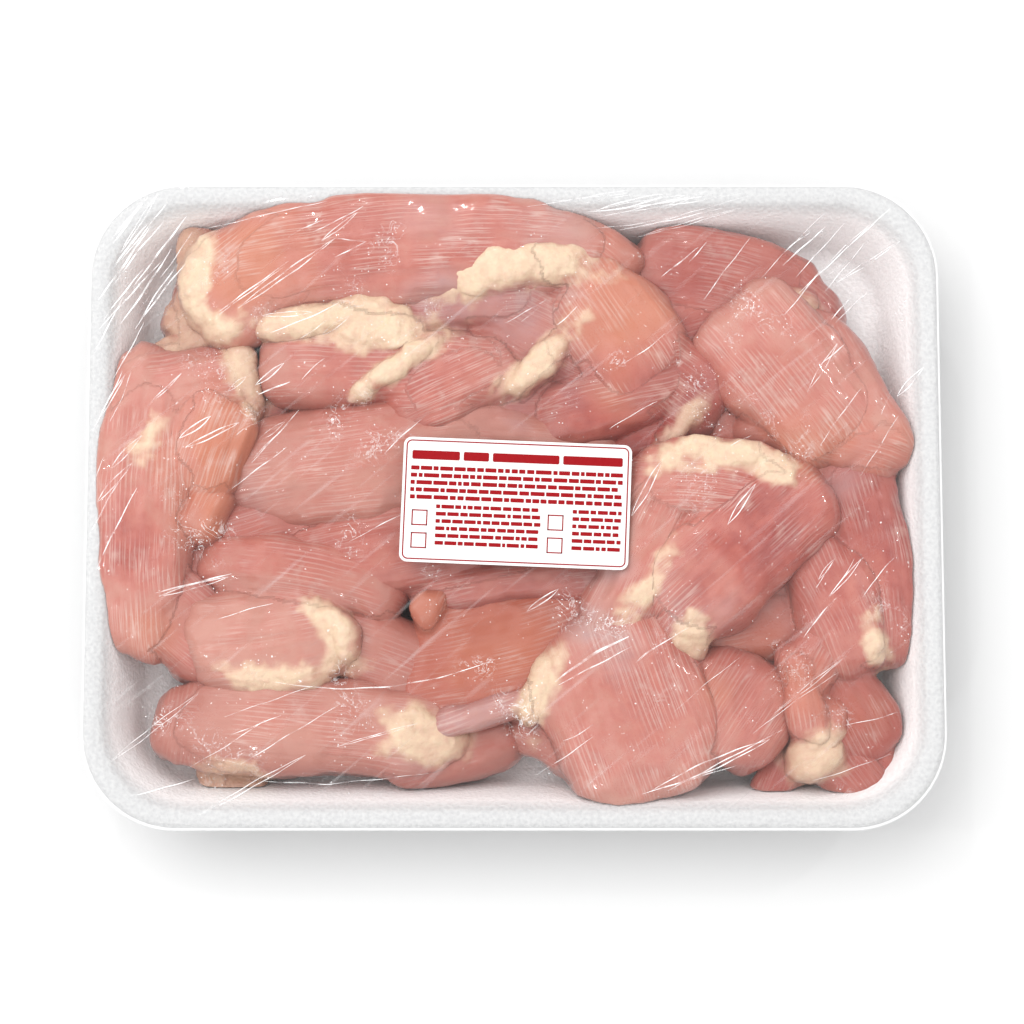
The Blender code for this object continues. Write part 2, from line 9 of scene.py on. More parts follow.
# %% Load the solid model
import itertools
import math
from collections import namedtuple

import bmesh
import bpy
import numpy as np
from mathutils import Matrix, Vector


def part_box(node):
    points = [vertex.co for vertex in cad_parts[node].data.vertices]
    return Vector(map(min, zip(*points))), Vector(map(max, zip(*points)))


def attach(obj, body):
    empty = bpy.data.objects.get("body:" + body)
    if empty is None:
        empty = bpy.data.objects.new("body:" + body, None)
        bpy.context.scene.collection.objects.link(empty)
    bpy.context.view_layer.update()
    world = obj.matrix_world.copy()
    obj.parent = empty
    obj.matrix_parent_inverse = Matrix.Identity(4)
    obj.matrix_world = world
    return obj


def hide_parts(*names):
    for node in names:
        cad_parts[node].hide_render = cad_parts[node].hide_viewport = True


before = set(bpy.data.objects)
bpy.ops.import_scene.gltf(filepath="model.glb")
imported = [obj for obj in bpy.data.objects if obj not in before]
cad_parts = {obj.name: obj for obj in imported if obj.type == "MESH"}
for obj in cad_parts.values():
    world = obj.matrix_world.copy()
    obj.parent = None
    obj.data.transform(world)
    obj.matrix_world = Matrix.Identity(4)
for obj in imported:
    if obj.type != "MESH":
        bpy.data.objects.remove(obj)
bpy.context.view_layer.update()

MM = 0.001
tray_low, tray_high = (np.array(corner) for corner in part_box("foam_tray"))
film_low, film_high = (np.array(corner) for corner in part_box("film"))
tray_length, tray_width = (tray_high - tray_low)[:2]
print("tray", np.round((tray_high - tray_low) / MM, 1), "mm, pack", np.round((film_high - film_low) / MM, 1))

# %% [markdown]
# ## Camera, floor and light
#
# The photo looks almost straight down from about a metre away: the tray's far edge is only a few
# pixels shorter than its near edge, and that ratio gives the distance. A long lens keeps the tray's
# sides nearly parallel. One broad lamp at the upper left gives the soft shading. It is left out of
# reflections, because the glints in the film are small and crisp: four little lamps round the pack
# make some of those, and the rest are painted white into the film and its creases. A white sky keeps
# the shadow at the lower right pale.

# %% Camera
CAMERA_TILT = math.radians(6.5)
CAMERA_DISTANCE = 0.80
PICTURE_WIDTH = 0.3250
AIM = Vector((-0.0006, -0.0030, tray_high[2]))

camera_data = bpy.data.cameras.new("camera")
camera_data.sensor_width = 36.0
camera_data.lens = camera_data.sensor_width * CAMERA_DISTANCE / PICTURE_WIDTH
camera = bpy.data.objects.new("camera", camera_data)
bpy.context.scene.collection.objects.link(camera)
towards_camera = Vector((0, -math.sin(CAMERA_TILT), math.cos(CAMERA_TILT)))
camera.location = AIM + CAMERA_DISTANCE * towards_camera
camera.rotation_euler = (CAMERA_TILT, 0, 0)
bpy.context.scene.camera = camera
print("lens", round(camera_data.lens, 1), "mm")

# %% Floor and lamps
def add(tree, kind, settings=None, **sockets):
    """Adds a shader node. A socket gets a value, or the output that feeds it."""
    made = tree.nodes.new("ShaderNode" + kind)
    for name, value in (settings or {}).items():
        setattr(made, name, value)
    for name, value in sockets.items():
        socket = made.inputs[int(name[2:])] if name.startswith("in") else made.inputs[name.replace("_", " ")]
        if isinstance(value, bpy.types.NodeSocket):
            tree.links.new(value, socket)
        else:
            socket.default_value = value
    return made


def maths(tree, operation, first, second=0.0, third=0.0, clamp=False):
    made = add(tree, "Math", {"operation": operation, "use_clamp": clamp}, in0=first, in1=second)
    if isinstance(third, bpy.types.NodeSocket):
        tree.links.new(third, made.inputs[2])
    else:
        made.inputs[2].default_value = third
    return made.outputs[0]


def times(tree, first, second, clamp=False):
    return maths(tree, "MULTIPLY", first, second, clamp=clamp)


def highest(tree, first, second):
    return maths(tree, "MAXIMUM", first, second)


def less(tree, first, second, clamp=False):
    return maths(tree, "SUBTRACT", first, second, clamp=clamp)


def blend_colours(tree, amount, first, second):
    made = add(tree, "Mix", {"data_type": "RGBA"})
    for socket, value in ((made.inputs[0], amount), (made.inputs[6], first), (made.inputs[7], second)):
        if isinstance(value, bpy.types.NodeSocket):
            tree.links.new(value, socket)
        else:
            socket.default_value = value
    return made.outputs[2]


def new_material(name):
    """An empty node material, its tree, and the place that each shaded point has."""
    made = bpy.data.materials.new(name)
    made.use_nodes = True
    made.node_tree.nodes.clear()
    return made, made.node_tree, add(made.node_tree, "NewGeometry").outputs["Position"]


def show(tree, shader):
    """Makes a shader the material's surface."""
    tree.links.new(shader.outputs[0], tree.nodes.new("ShaderNodeOutputMaterial").inputs[0])


def mixed(tree, amount, first, second):
    """Two shaders mixed: the first where amount is 0 and the second where it is 1."""
    made = add(tree, "MixShader", Fac=amount)
    tree.links.new(first.outputs[0], made.inputs[1])
    tree.links.new(second.outputs[0], made.inputs[2])
    return made


FLOOR_DEPTH = 0.3 * MM
floor_mesh = bpy.data.meshes.new("floor")
floor_shape = bmesh.new()
bmesh.ops.create_grid(floor_shape, x_segments=1, y_segments=1, size=4.0)
floor_shape.to_mesh(floor_mesh)
floor_shape.free()
floor = bpy.data.objects.new("floor", floor_mesh)
floor.location.z = -FLOOR_DEPTH
bpy.context.scene.collection.objects.link(floor)
FLOOR_WHITE = (0.69, 0.69, 0.69, 1)
floor_material, tree, _ = new_material("white_floor")
show(tree, add(tree, "BsdfDiffuse", Color=FLOOR_WHITE))
floor.data.materials.append(floor_material)

HORIZON_STRENGTH = 0.80
OVERHEAD_STRENGTH = 1.45
CEILING_STRENGTH = 0.55
world = bpy.data.worlds.new("studio")
world.use_nodes = True
tree = world.node_tree
direction = add(tree, "SeparateXYZ", Vector=add(tree, "TexCoord").outputs["Generated"])
overhead = add(tree, "ValToRGB", Fac=direction.outputs["Z"]).color_ramp
overhead.elements[0].position, overhead.elements[1].position = 0.45, 1.0
for stop, strength in zip(overhead.elements, (HORIZON_STRENGTH, CEILING_STRENGTH)):
    stop.color = (strength / 2, strength / 2, strength / 2, 1)
for position in (0.78, 0.955):
    overhead.elements.new(position).color = (OVERHEAD_STRENGTH / 2,) * 3 + (1,)
background = tree.nodes["Background"]
background.inputs[1].default_value = 2.0
tree.links.new(tree.nodes["Color Ramp"].outputs[0], background.inputs[0])
bpy.context.scene.world = world
bpy.context.scene.view_settings.view_transform = "Standard"

Lamp = namedtuple("Lamp", "name place size power")
LAMPS = (
    Lamp("key", (-1.20, 1.00, 2.10), 2.00, 35.0),
    Lamp("left", (-1.50, -0.10, 1.20), 0.07, 2.4),
    Lamp("right", (1.30, 0.75, 1.30), 0.07, 2.4),
    Lamp("front", (-0.55, -1.40, 1.25), 0.07, 2.4),
    Lamp("back", (-0.40, 1.50, 1.25), 0.07, 2.8),
)


def make_lamp(lamp):
    data = bpy.data.lights.new(lamp.name, "AREA")
    data.energy = lamp.power
    data.shape = "SQUARE"
    data.size = lamp.size
    made = bpy.data.objects.new(lamp.name, data)
    made.location = lamp.place
    made.visible_glossy = lamp.size < 1
    made.rotation_euler = (-Vector(lamp.place)).to_track_quat("-Z", "Y").to_euler()
    bpy.context.scene.collection.objects.link(made)


for lamp in LAMPS:
    make_lamp(lamp)
print("lamps", [lamp.name for lamp in LAMPS])

# %% [markdown]
# ## Uneven surfaces
#
# Meat, fat, foam and film are all uneven, each at its own scale. Blender's Displace modifier could
# do this, but its textures don't know which way a muscle runs. So the unevenness is worked out with
# numpy, point by point: random values on a lattice, blended smoothly between its corners. Squeezing
# the points along one direction first turns round bumps into long fibres.

# %% Noise and mesh helpers
def noise(points, size, seed=0):
    """Smooth random values from -1 to 1 at points (n, 3), with bumps of about this size."""
    lattice = points / np.broadcast_to(size, 3) + 31.7 * (seed + 1)
    cell = np.floor(lattice).astype(np.int64)
    part = lattice - cell
    part = part * part * part * (part * (part * 6 - 15) + 10)
    total = np.zeros(len(points))
    for corner in itertools.product((0, 1), repeat=3):
        place = (cell + corner) * (374761393, 668265263, 1274126177)
        mixed = (place[:, 0] ^ (place[:, 1] << 1) ^ (place[:, 2] << 2)) & 0xFFFFFFFF
        mixed = ((mixed ^ (mixed >> 13)) * 1274126177) & 0xFFFFFFFF
        value = ((mixed ^ (mixed >> 16)) & 0xFFFF) / 32767.5 - 1
        weight = np.prod(np.where(corner, part, 1 - part), axis=1)
        total += weight * value
    return total


def new_piece(name, points, faces):
    mesh = bpy.data.meshes.new(name)
    faces = faces if isinstance(faces, list) else faces.tolist()
    mesh.from_pydata(points.tolist(), [], faces)
    mesh.validate()
    mesh.shade_smooth()
    made = bpy.data.objects.new(name, mesh)
    bpy.context.scene.collection.objects.link(made)
    return made


def grid_faces(index):
    """Quads between the points of a grid, from each point's number."""
    corners = (index[:-1, :-1], index[1:, :-1], index[1:, 1:], index[:-1, 1:])
    return np.column_stack([corner.ravel() for corner in corners])


def points_of(mesh):
    found = np.empty(3 * len(mesh.vertices))
    mesh.vertices.foreach_get("co", found)
    return found.reshape(-1, 3)


def normals_of(mesh):
    found = np.empty(3 * len(mesh.vertices), np.float32)
    mesh.vertex_normals.foreach_get("vector", found)
    return found.reshape(-1, 3).astype(float)


def set_points(mesh, points):
    mesh.vertices.foreach_set("co", points.ravel())
    mesh.update()


def store(mesh, name, values):
    """Keeps a number or a vector on every vertex, for the material to read."""
    vector = values.ndim == 2
    layer = mesh.attributes.new(name, "FLOAT_VECTOR" if vector else "FLOAT", "POINT")
    layer.data.foreach_set("vector" if vector else "value", values.astype(np.float32).ravel())


def bake_modifiers(piece):
    graph = bpy.context.evaluated_depsgraph_get()
    mesh = bpy.data.meshes.new_from_object(piece.evaluated_get(graph))
    piece.modifiers.clear()
    old, piece.data = piece.data, mesh
    bpy.data.meshes.remove(old)
    mesh.name = piece.name


sample = noise(np.random.default_rng(1).random((4000, 3)), 0.1)
print("noise spread", round(float(sample.std()), 2))

# %% [markdown]
# ## Foam tray
#
# The tray is pressed from one sheet of expanded foam: a flat rim with a round edge, sloping walls
# and a floor with a shallow recess under it. Its section is the same all round, so a handful of
# (inset, height) points are swept round a rounded rectangle. The solid has the same section with
# flat facets. Here the section is rounded by a spline through the points, and the foam's swollen
# beads, about a millimetre across, are a fine bump with a soft dimpling of the surface itself.
# Light comes through the thin walls, and that light is painted: the foam that faces up below the rim, the
# inner walls and the floor, gets a lighter colour than the rim.

# %% Section and sweep
TRAY_CORNER = 30 * MM
CORNER_SHRINK = 0.55
CORNER_STEPS = 16
SIDE_STEPS = 14
RIM_WIDTH = 6.5 * MM
RIM_LIP = 4.6 * MM
WALL_RUN = 12 * MM
FOOT_INSET = 15.5 * MM
FOOT_RING = 12 * MM
FOOT_RECESS = 1.2 * MM
FOAM_THICKNESS = 3.6 * MM
foot_z, rim_z = tray_low[2], tray_high[2]
floor_z = foot_z + FOOT_RECESS + FOAM_THICKNESS


def inset_of(x, y):
    """How far inside the tray's outline a plan point lies."""
    dx = np.abs(x) - (tray_length / 2 - TRAY_CORNER)
    dy = np.abs(y) - (tray_width / 2 - TRAY_CORNER)
    corner = np.hypot(np.clip(dx, 0, None), np.clip(dy, 0, None))
    inside = np.minimum(np.maximum(dx, dy), 0)
    return TRAY_CORNER - corner - inside


def corner_arcs(half_length, half_width, radius, steps):
    """The four corner arcs of a rounded rectangle in plan, counter-clockwise from the front right."""
    arcs = []
    for quarter, (side_x, side_y) in enumerate(((1, -1), (1, 1), (-1, 1), (-1, -1))):
        turn = math.pi / 2 * (quarter - 1 + np.arange(steps + 1) / steps)
        x = side_x * (half_length - radius) + radius * np.cos(turn)
        y = side_y * (half_width - radius) + radius * np.sin(turn)
        arcs.append(np.column_stack([x, y]))
    return arcs


def outline(inset):
    """The tray's outline in plan, drawn in by inset, with points along its straight sides too."""
    radius = TRAY_CORNER - CORNER_SHRINK * inset
    arcs = corner_arcs(tray_length / 2 - inset, tray_width / 2 - inset, radius, CORNER_STEPS)
    share = np.arange(1, SIDE_STEPS)[:, None] / SIDE_STEPS
    found = []
    for arc, after in zip(arcs, arcs[1:] + arcs[:1]):
        found += [arc, arc[-1] + share * (after[0] - arc[-1])]
    return np.concatenate(found)


def rounded(stations, steps=4):
    """A smooth curve through the stations (a Catmull-Rom spline), with this many steps between two."""
    knots = np.array([stations[0], *stations, stations[-1]])
    found = []
    for before, start, end, after in zip(knots, knots[1:], knots[2:], knots[3:]):
        for step in range(steps):
            t = step / steps
            found.append(0.5 * (
                2 * start + (end - before) * t + (2 * before - 5 * start + 4 * end - after) * t * t
                + (3 * start - before - 3 * end + after) * t ** 3
            ))
    return np.array(found + [knots[-1]])


def sweep(stations):
    """Sweeps (inset, height) stations round the tray. Returns points and faces, open at both ends."""
    rings = [np.insert(outline(inset), 2, height, axis=1) for inset, height in stations]
    count = len(rings[0])
    around = np.arange(count)
    after = (around + 1) % count
    row = np.column_stack([around, after, after + count, around + count])
    faces = [row + number * count for number in range(len(rings) - 1)]
    return np.concatenate(rings), np.concatenate(faces).tolist()


lip_z = rim_z - RIM_LIP
outside = [
    (FOOT_INSET + FOOT_RING + 1.5 * MM, foot_z + FOOT_RECESS),
    (FOOT_INSET + FOOT_RING, foot_z),
    (FOOT_INSET + 1.2 * MM, foot_z),
    (FOOT_INSET, foot_z + 0.8 * MM),
    (FOOT_INSET - 1.6 * MM, foot_z + 4 * MM),
    (RIM_WIDTH - 0.5 * MM, lip_z - 3 * MM),
    (RIM_WIDTH - 1.3 * MM, lip_z + 0.4 * MM),
    (RIM_WIDTH - 2.3 * MM, lip_z + 1.4 * MM),
    (2.4 * MM, lip_z + 1.2 * MM),
    (1.2 * MM, lip_z),
    (0.3 * MM, lip_z + 0.3 * MM),
    (0.0, lip_z + 1.6 * MM),
    (0.2 * MM, rim_z - 1.3 * MM),
    (1.4 * MM, rim_z - 0.2 * MM),
]
inside = [
    (2.6 * MM, rim_z),
    (RIM_WIDTH - 2.4 * MM, rim_z - 0.1 * MM),
    (RIM_WIDTH - 0.3 * MM, rim_z - 0.9 * MM),
    (RIM_WIDTH + 1.8 * MM, rim_z - 3.4 * MM),
    (RIM_WIDTH + 0.32 * WALL_RUN, 0.71 * rim_z + 0.29 * floor_z),
    (RIM_WIDTH + 0.52 * WALL_RUN, 0.45 * rim_z + 0.55 * floor_z),
    (RIM_WIDTH + WALL_RUN - 3.5 * MM, floor_z + 5 * MM),
    (RIM_WIDTH + WALL_RUN - 1.6 * MM, floor_z + 1.8 * MM),
    (RIM_WIDTH + WALL_RUN + 1.5 * MM, floor_z),
]
tray_points, tray_faces = sweep(rounded(outside + inside))
ring_size = len(outline(0.0))
last_ring = len(tray_points) - ring_size
tray_faces.append(list(range(ring_size))[::-1])
tray_faces.append(list(range(last_ring, last_ring + ring_size)))
tray_points[:, 2] += 0.10 * MM * noise(tray_points, 9 * MM, 5)
tray = new_piece("tray_foam", tray_points, tray_faces)
print("tray faces", len(tray.data.polygons))

# %% White foam
FOAM_BEAD = 1.25 * MM


def white_foam():
    made, tree, place = new_material("white_foam")
    beads = add(tree, "TexNoise", Vector=place, Scale=1 / FOAM_BEAD, Detail=1.0)
    bump = add(tree, "Bump", Height=beads.outputs["Fac"], Strength=0.6, Distance=0.5 * MM)
    shade = add(tree, "MapRange", Value=beads.outputs["Fac"], From_Min=0.3, From_Max=0.7).outputs[0]
    rim = blend_colours(tree, shade, (0.48, 0.48, 0.485, 1), (0.56, 0.56, 0.56, 1))
    # Painted light: foam facing up below the rim is lighter, for the light that comes through the thin
    # walls.
    wall = blend_colours(tree, shade, (0.80, 0.79, 0.79, 1), (0.86, 0.85, 0.85, 1))
    height = add(tree, "SeparateXYZ", Vector=place).outputs["Z"]
    below = add(tree, "MapRange", Value=height, From_Min=rim_z - 1.2 * MM, From_Max=rim_z - 5 * MM)
    facing = add(tree, "SeparateXYZ", Vector=place.node.outputs["Normal"]).outputs["Z"]
    inner = times(tree, below.outputs[0], maths(tree, "GREATER_THAN", facing, 0.0))
    colour = blend_colours(tree, inner, rim, wall)
    shader = add(
        tree, "BsdfPrincipled", Base_Color=colour, Roughness=0.55, Normal=bump.outputs[0],
        Coat_Weight=0.15, Coat_Roughness=0.3,
    )
    show(tree, shader)
    return made


tray.data.materials.append(white_foam())
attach(tray, "root")
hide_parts("foam_tray")
print("foam beads", FOAM_BEAD / MM, "mm")

# %% [markdown]
# ## Absorbent pad
#
# A quilted pad drinks up the juice under the meat. Little of it shows: a few blue-grey corners at
# the left, and dark stained depths between the thighs. It is a flat pillow with embossed dimples,
# so a grid is closed into a slab, thinned towards its sealed edge and dimpled by a cosine pattern.

# %% Pad
pad_low, pad_high = (np.array(corner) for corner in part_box("absorbent_pad"))
PAD_CELL = 2.0 * MM
QUILT_PITCH = 7 * MM
SEALED_EDGE = 5 * MM


def make_pad():
    columns = int((pad_high[0] - pad_low[0]) / PAD_CELL)
    rows = int((pad_high[1] - pad_low[1]) / PAD_CELL)
    xs = np.linspace(pad_low[0], pad_high[0], columns)
    ys = np.linspace(pad_low[1], pad_high[1], rows)
    x, y = np.meshgrid(xs, ys, indexing="ij")
    edge = np.minimum.reduce([x - xs[0], xs[-1] - x, y - ys[0], ys[-1] - y])
    fullness = np.clip(edge / SEALED_EDGE, 0, 1) ** 0.5
    quilt = np.cos(2 * math.pi * x / QUILT_PITCH) * np.cos(2 * math.pi * y / QUILT_PITCH)
    low_z, high_z = pad_low[2], pad_high[2]
    top = low_z + (high_z - low_z) * (0.25 + 0.6 * fullness + 0.15 * fullness * quilt)
    upper = np.column_stack([x.ravel(), y.ravel(), top.ravel()])
    lower = np.column_stack([x.ravel(), y.ravel(), np.full(x.size, low_z)])
    index = np.arange(x.size).reshape(x.shape)
    face = grid_faces(index)
    rim = np.concatenate([index[:, 0], index[-1, 1:], index[-2::-1, -1], index[0, -2:0:-1]])
    next_rim = np.roll(rim, -1)
    sides = np.column_stack([rim + x.size, next_rim + x.size, next_rim, rim])
    faces = np.concatenate([face, face[:, ::-1] + x.size, sides])
    return new_piece("pad", np.concatenate([upper, lower]), faces)


def pad_fleece():
    made, tree, place = new_material("pad_fleece")
    wool = add(tree, "TexNoise", Vector=place, Scale=1 / (0.6 * MM), Detail=4.0)
    damp = add(tree, "TexNoise", Vector=place, Scale=1 / (14 * MM), Detail=2.0)
    colour = blend_colours(tree, damp.outputs["Fac"], (0.60, 0.67, 0.72, 1), (0.78, 0.82, 0.84, 1))
    along = add(tree, "SeparateXYZ", Vector=place).outputs["X"]
    stained = add(tree, "MapRange", Value=along, From_Min=-70 * MM, From_Max=-52 * MM)
    colour = blend_colours(tree, stained.outputs[0], colour, (0.42, 0.17, 0.14, 1))
    bump = add(tree, "Bump", Height=wool.outputs["Fac"], Strength=0.5, Distance=0.2 * MM)
    shader = add(tree, "BsdfPrincipled", Base_Color=colour, Roughness=0.6, Normal=bump.outputs[0])
    show(tree, shader)
    return made


pad = make_pad()
pad.data.materials.append(pad_fleece())
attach(pad, "root")
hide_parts("absorbent_pad")
print("pad", np.round((pad_high - pad_low) / MM, 1), "mm")

# %% [markdown]
# ## The thighs' muscles
#
# A boned thigh is a handful of flat muscles with fat pads between them. Each is a pillow here: a
# plan place, a length and a width, the way it points, how far it bows, and the heights between
# which it lies. The list is the one that the solid was made from, so both have the same form. The
# last word is what the muscle looks like: how deep its colour is, how far it leans to orange, and
# how much milky membrane covers it.

# %% Muscles and fat pads
Look = namedtuple("Look", "tone warmth veil")
LOOKS = {
    "pale": Look(0.12, 0.15, 0.10),
    "rosy": Look(0.30, 0.10, 0.10),
    "pink": Look(0.45, 0.10, 0.10),
    "deep": Look(0.68, 0.15, 0.05),
    "dark": Look(0.85, 0.10, 0.00),
    "orange": Look(0.40, 0.80, 0.00),
    "mauve": Look(0.62, 0.00, 0.45),
    "veil": Look(0.40, 0.00, 0.95),
    "brown": Look(0.60, 0.55, 0.00),
    "fat": Look(0.30, 0.30, 0.10),
}
Lobe = namedtuple("Lobe", "name x y length width heading bend base crown look")
THIGHS = {
    "thigh_centre_right": (
        ("belly", 71, -14, 70, 38, 42, 0, 12, 40, "deep"),
        ("strip", 41, -18, 56, 26, 64, 0, 12, 37, "rosy"),
        ("brow", 60, 3, 54, 26, -6, 2, 12, 38, "pink"),
        ("neck", 56, -32, 30, 20, 60, 0, 12, 37, "veil"),
        ("fat_crescent", 67, 11, 46, 10, -8, 4, 20, 39, "fat"),
        ("fat_strip", 42, -28, 24, 7, 55, 0, 26, 38, "fat"),
        ("fat_knee", 56, -43, 13, 11, 60, 0, 14, 35, "fat"),
    ),
    "thigh_right_upper": (
        ("belly", 87, 42, 62, 43, -52, 0, 8, 38, "rosy"),
        ("flank", 106, 36, 62, 28, -58, 0, 8, 34, "pink"),
        ("roll", 98, 20, 56, 16, -8, 2, 8, 33.5, "orange"),
        ("inner", 76, 26, 32, 22, 20, 0, 6, 27, "deep"),
    ),
    "thigh_back_centre": (
        ("left_belly", -43, 44, 78, 29, -2, 0, 8, 35, "rosy"),
        ("middle_belly", -19, 39, 50, 29, 24, 0, 8, 36, "pink"),
        ("orange_belly", 34, 55, 52, 38, -58, 0, 8, 37, "orange"),
        ("right_belly", 34, 34, 64, 28, 14, 0, 8, 35, "deep"),
        ("mauve_belly", 54, 38, 32, 28, -35, 0, 8, 34, "mauve"),
        ("web", 8, 57, 46, 30, -25, 0, 8, 33, "veil"),
        ("upper_web", -14, 65, 62, 18, 6, 0, 8, 34, "mauve"),
        ("gap_middle", 3, 31, 36, 18, 0, 0, 8, 31, "veil"),
        ("gap_right", 38, 20, 30, 16, 10, 0, 8, 30, "deep"),
        ("fat_band", -59, 59, 46, 11, 8, 1, 20, 37, "fat"),
        ("fat_band_low", -42, 56, 32, 15, -6, 0, 20, 37, "fat"),
        ("fat_seam", -37, 43, 38, 6.5, 37, 1, 24, 38, "fat"),
        ("fat_top", 2, 74, 50, 15, 8, 2, 20, 38, "fat"),
        ("fat_low", 8, 45, 30, 9, 48, 0, 22, 38, "fat"),
        ("fat_end", 53, 23, 20, 6, 48, 0, 18, 34.5, "fat"),
    ),
    "thigh_front_centre": (
        ("belly", 36, -64, 62, 56, 110, 0, 8, 37, "rosy"),
        ("under_roll", 22, -79, 50, 20, -24, 0, 6, 27, "pale"),
        ("right_belly", 70, -64, 34, 38, 55, 0, 6, 33, "pink"),
        ("fat_edge", 8, -58, 24, 8, 72, 0, 18, 35, "fat"),
        ("sinew", -8, -65, 36, 9, 18, 0, 18, 33, "veil"),
    ),
    "thigh_front_left": (
        ("upper_belly", -68, -24, 66, 22, -10, 3, 8, 33, "pink"),
        ("lower_belly", -77, -41, 54, 34, 8, -2, 8, 34, "pale"),
        ("skirt", -42, -47, 50, 26, -20, 0, 6, 29, "pale"),
        ("fat_hook", -58, -42, 20, 9, -62, 3, 22, 36, "fat"),
        ("fat_sweep", -70, -53, 32, 6.5, 10, -2, 18, 33, "fat"),
    ),
    "thigh_left": (
        ("column", -116, 2, 100, 34, 88, 3, 6, 35, "rosy"),
        ("shoulder", -106, 36, 46, 28, 12, 0, 6, 33.5, "pink"),
        ("flap", -97, 20, 36, 28, 70, 0, 10, 36, "orange"),
        ("flap_tip", -98, -2, 20, 15, 60, 0, 12, 34, "orange"),
        ("foot", -107, -35, 48, 28, -38, 0, 6, 30, "pink"),
        ("web", -97, -20, 34, 14, 80, 0, 6, 27, "veil"),
        ("gap_left", -77, 32, 24, 15, 60, 0, 6, 25, "pink"),
        ("fat_neck", -86, 41, 27, 9, -66, 0, 12, 32.5, "fat"),
        ("fat_patch", -115, 22, 15, 8, 60, 0, 22, 34, "fat"),
    ),
    "thigh_centre_pale": (
        ("belly", -42, 12, 102, 42, 6, 2, 6, 34, "pale"),
        ("tail", 6, 20, 60, 20, -4, 0, 6, 33, "pale"),
    ),
    "thigh_centre_red": (
        ("belly", -32, -13, 112, 32, 10, 0, 6, 32, "pink"),
        ("ledge", 4, -24, 74, 17, 8, 0, 6, 32, "mauve"),
        ("under_label", 6, 0, 62, 36, 0, 0, 6, 36, "pink"),
        ("left_end", -80, -9, 36, 24, 15, 0, 6, 29, "pink"),
    ),
    "thigh_front_right": (
        ("column", 91, -60, 36, 15, 98, 0, 10, 34, "pink"),
        ("column_top", 95, -50, 24, 20, 60, 0, 8, 32.5, "deep"),
        ("column_side", 97, -70, 26, 14, 60, 0, 8, 30, "pink"),
        ("lap", 105, -83, 28, 22, -50, 0, 6, 25, "pink"),
        ("scrap", 85, -86, 18, 14, 70, 0, 6, 22, "deep"),
        ("drip", 109, -94, 13, 7, -80, 0, 6, 17, "deep"),
        ("fat_lump", 96, -80, 20, 15, 20, 0, 10, 30, "fat"),
    ),
    "thigh_back_left": (
        ("belly", -38, 77.5, 138, 39, 4, 5, 6, 37.5, "pink"),
        ("knob", -86, 72, 44, 36, 40, 0, 6, 35, "orange"),
        ("pale_strip", -38, 70, 92, 22, 10, 2, 8, 33, "pale"),
        ("end_knob", 29, 82, 24, 17, -42, 0, 8, 31, "orange"),
        ("fat_left", -105, 73, 40, 13, 80, -2, 8, 27, "fat"),
        ("fat_corner", -104, 58, 20, 15, -50, 0, 8, 26, "fat"),
        ("fat_roll", -104, 51, 38, 9, 24, 2, 10, 27, "fat"),
    ),
    "thigh_right_edge": (
        ("belly", 109, -12, 82, 32, -78, 4, 6, 31, "deep"),
        ("shoulder", 88, 11, 40, 18, -12, 0, 6, 30, "deep"),
        ("inner_belly", 102, -31, 50, 28, -66, 0, 8, 34, "pink"),
        ("tail", 106, -62, 46, 26, -62, 0, 6, 27, "deep"),
        ("edge_strip", 116, -80, 30, 13, -80, 0, 6, 22, "deep"),
        ("fat", 114, -44, 17, 7, -70, 0, 18, 31, "fat"),
        ("scraps", 77, -38, 38, 26, 10, 0, 6, 27, "orange"),
        ("gap_edge", 82, -24, 36, 20, 40, 0, 6, 26, "pink"),
    ),
    "thigh_centre_front": (
        ("belly", -5, -44, 68, 38, 14, -2, 6, 31, "brown"),
        ("ledge", -14, -59, 46, 14, -10, 0, 6, 26, "pink"),
        ("knob", -27, -33, 14, 11, 60, 0, 18, 33, "orange"),
    ),
    "thigh_front_roll": (
        ("belly", -62, -71, 98, 33, -5, 1, 6, 31, "pale"),
        ("cut_end", -100, -70, 26, 28, 80, 0, 6, 27, "pale"),
        ("tip", -19, -78, 46, 18, 14, 0, 6, 26, "pink"),
        ("fat_pad", -27, -74, 28, 17, -8, 0, 12, 31, "fat"),
        ("fat_flap", -90, -89, 22, 16, 0, 0, 4, 17, "fat"),
    ),
    "thigh_back_right": (
        ("belly", 67, 74, 60, 29, -12, 2, 6, 29, "pink"),
        ("flank", 90, 66, 42, 22, -40, 2, 6, 27, "deep"),
        ("inner", 58, 60, 32, 20, 15, 0, 6, 29, "deep"),
        ("fat", 90, 65, 16, 7, -10, 0, 14, 31, "fat"),
    ),
}
THIGHS = {name: [Lobe(*row) for row in rows] for name, rows in THIGHS.items()}
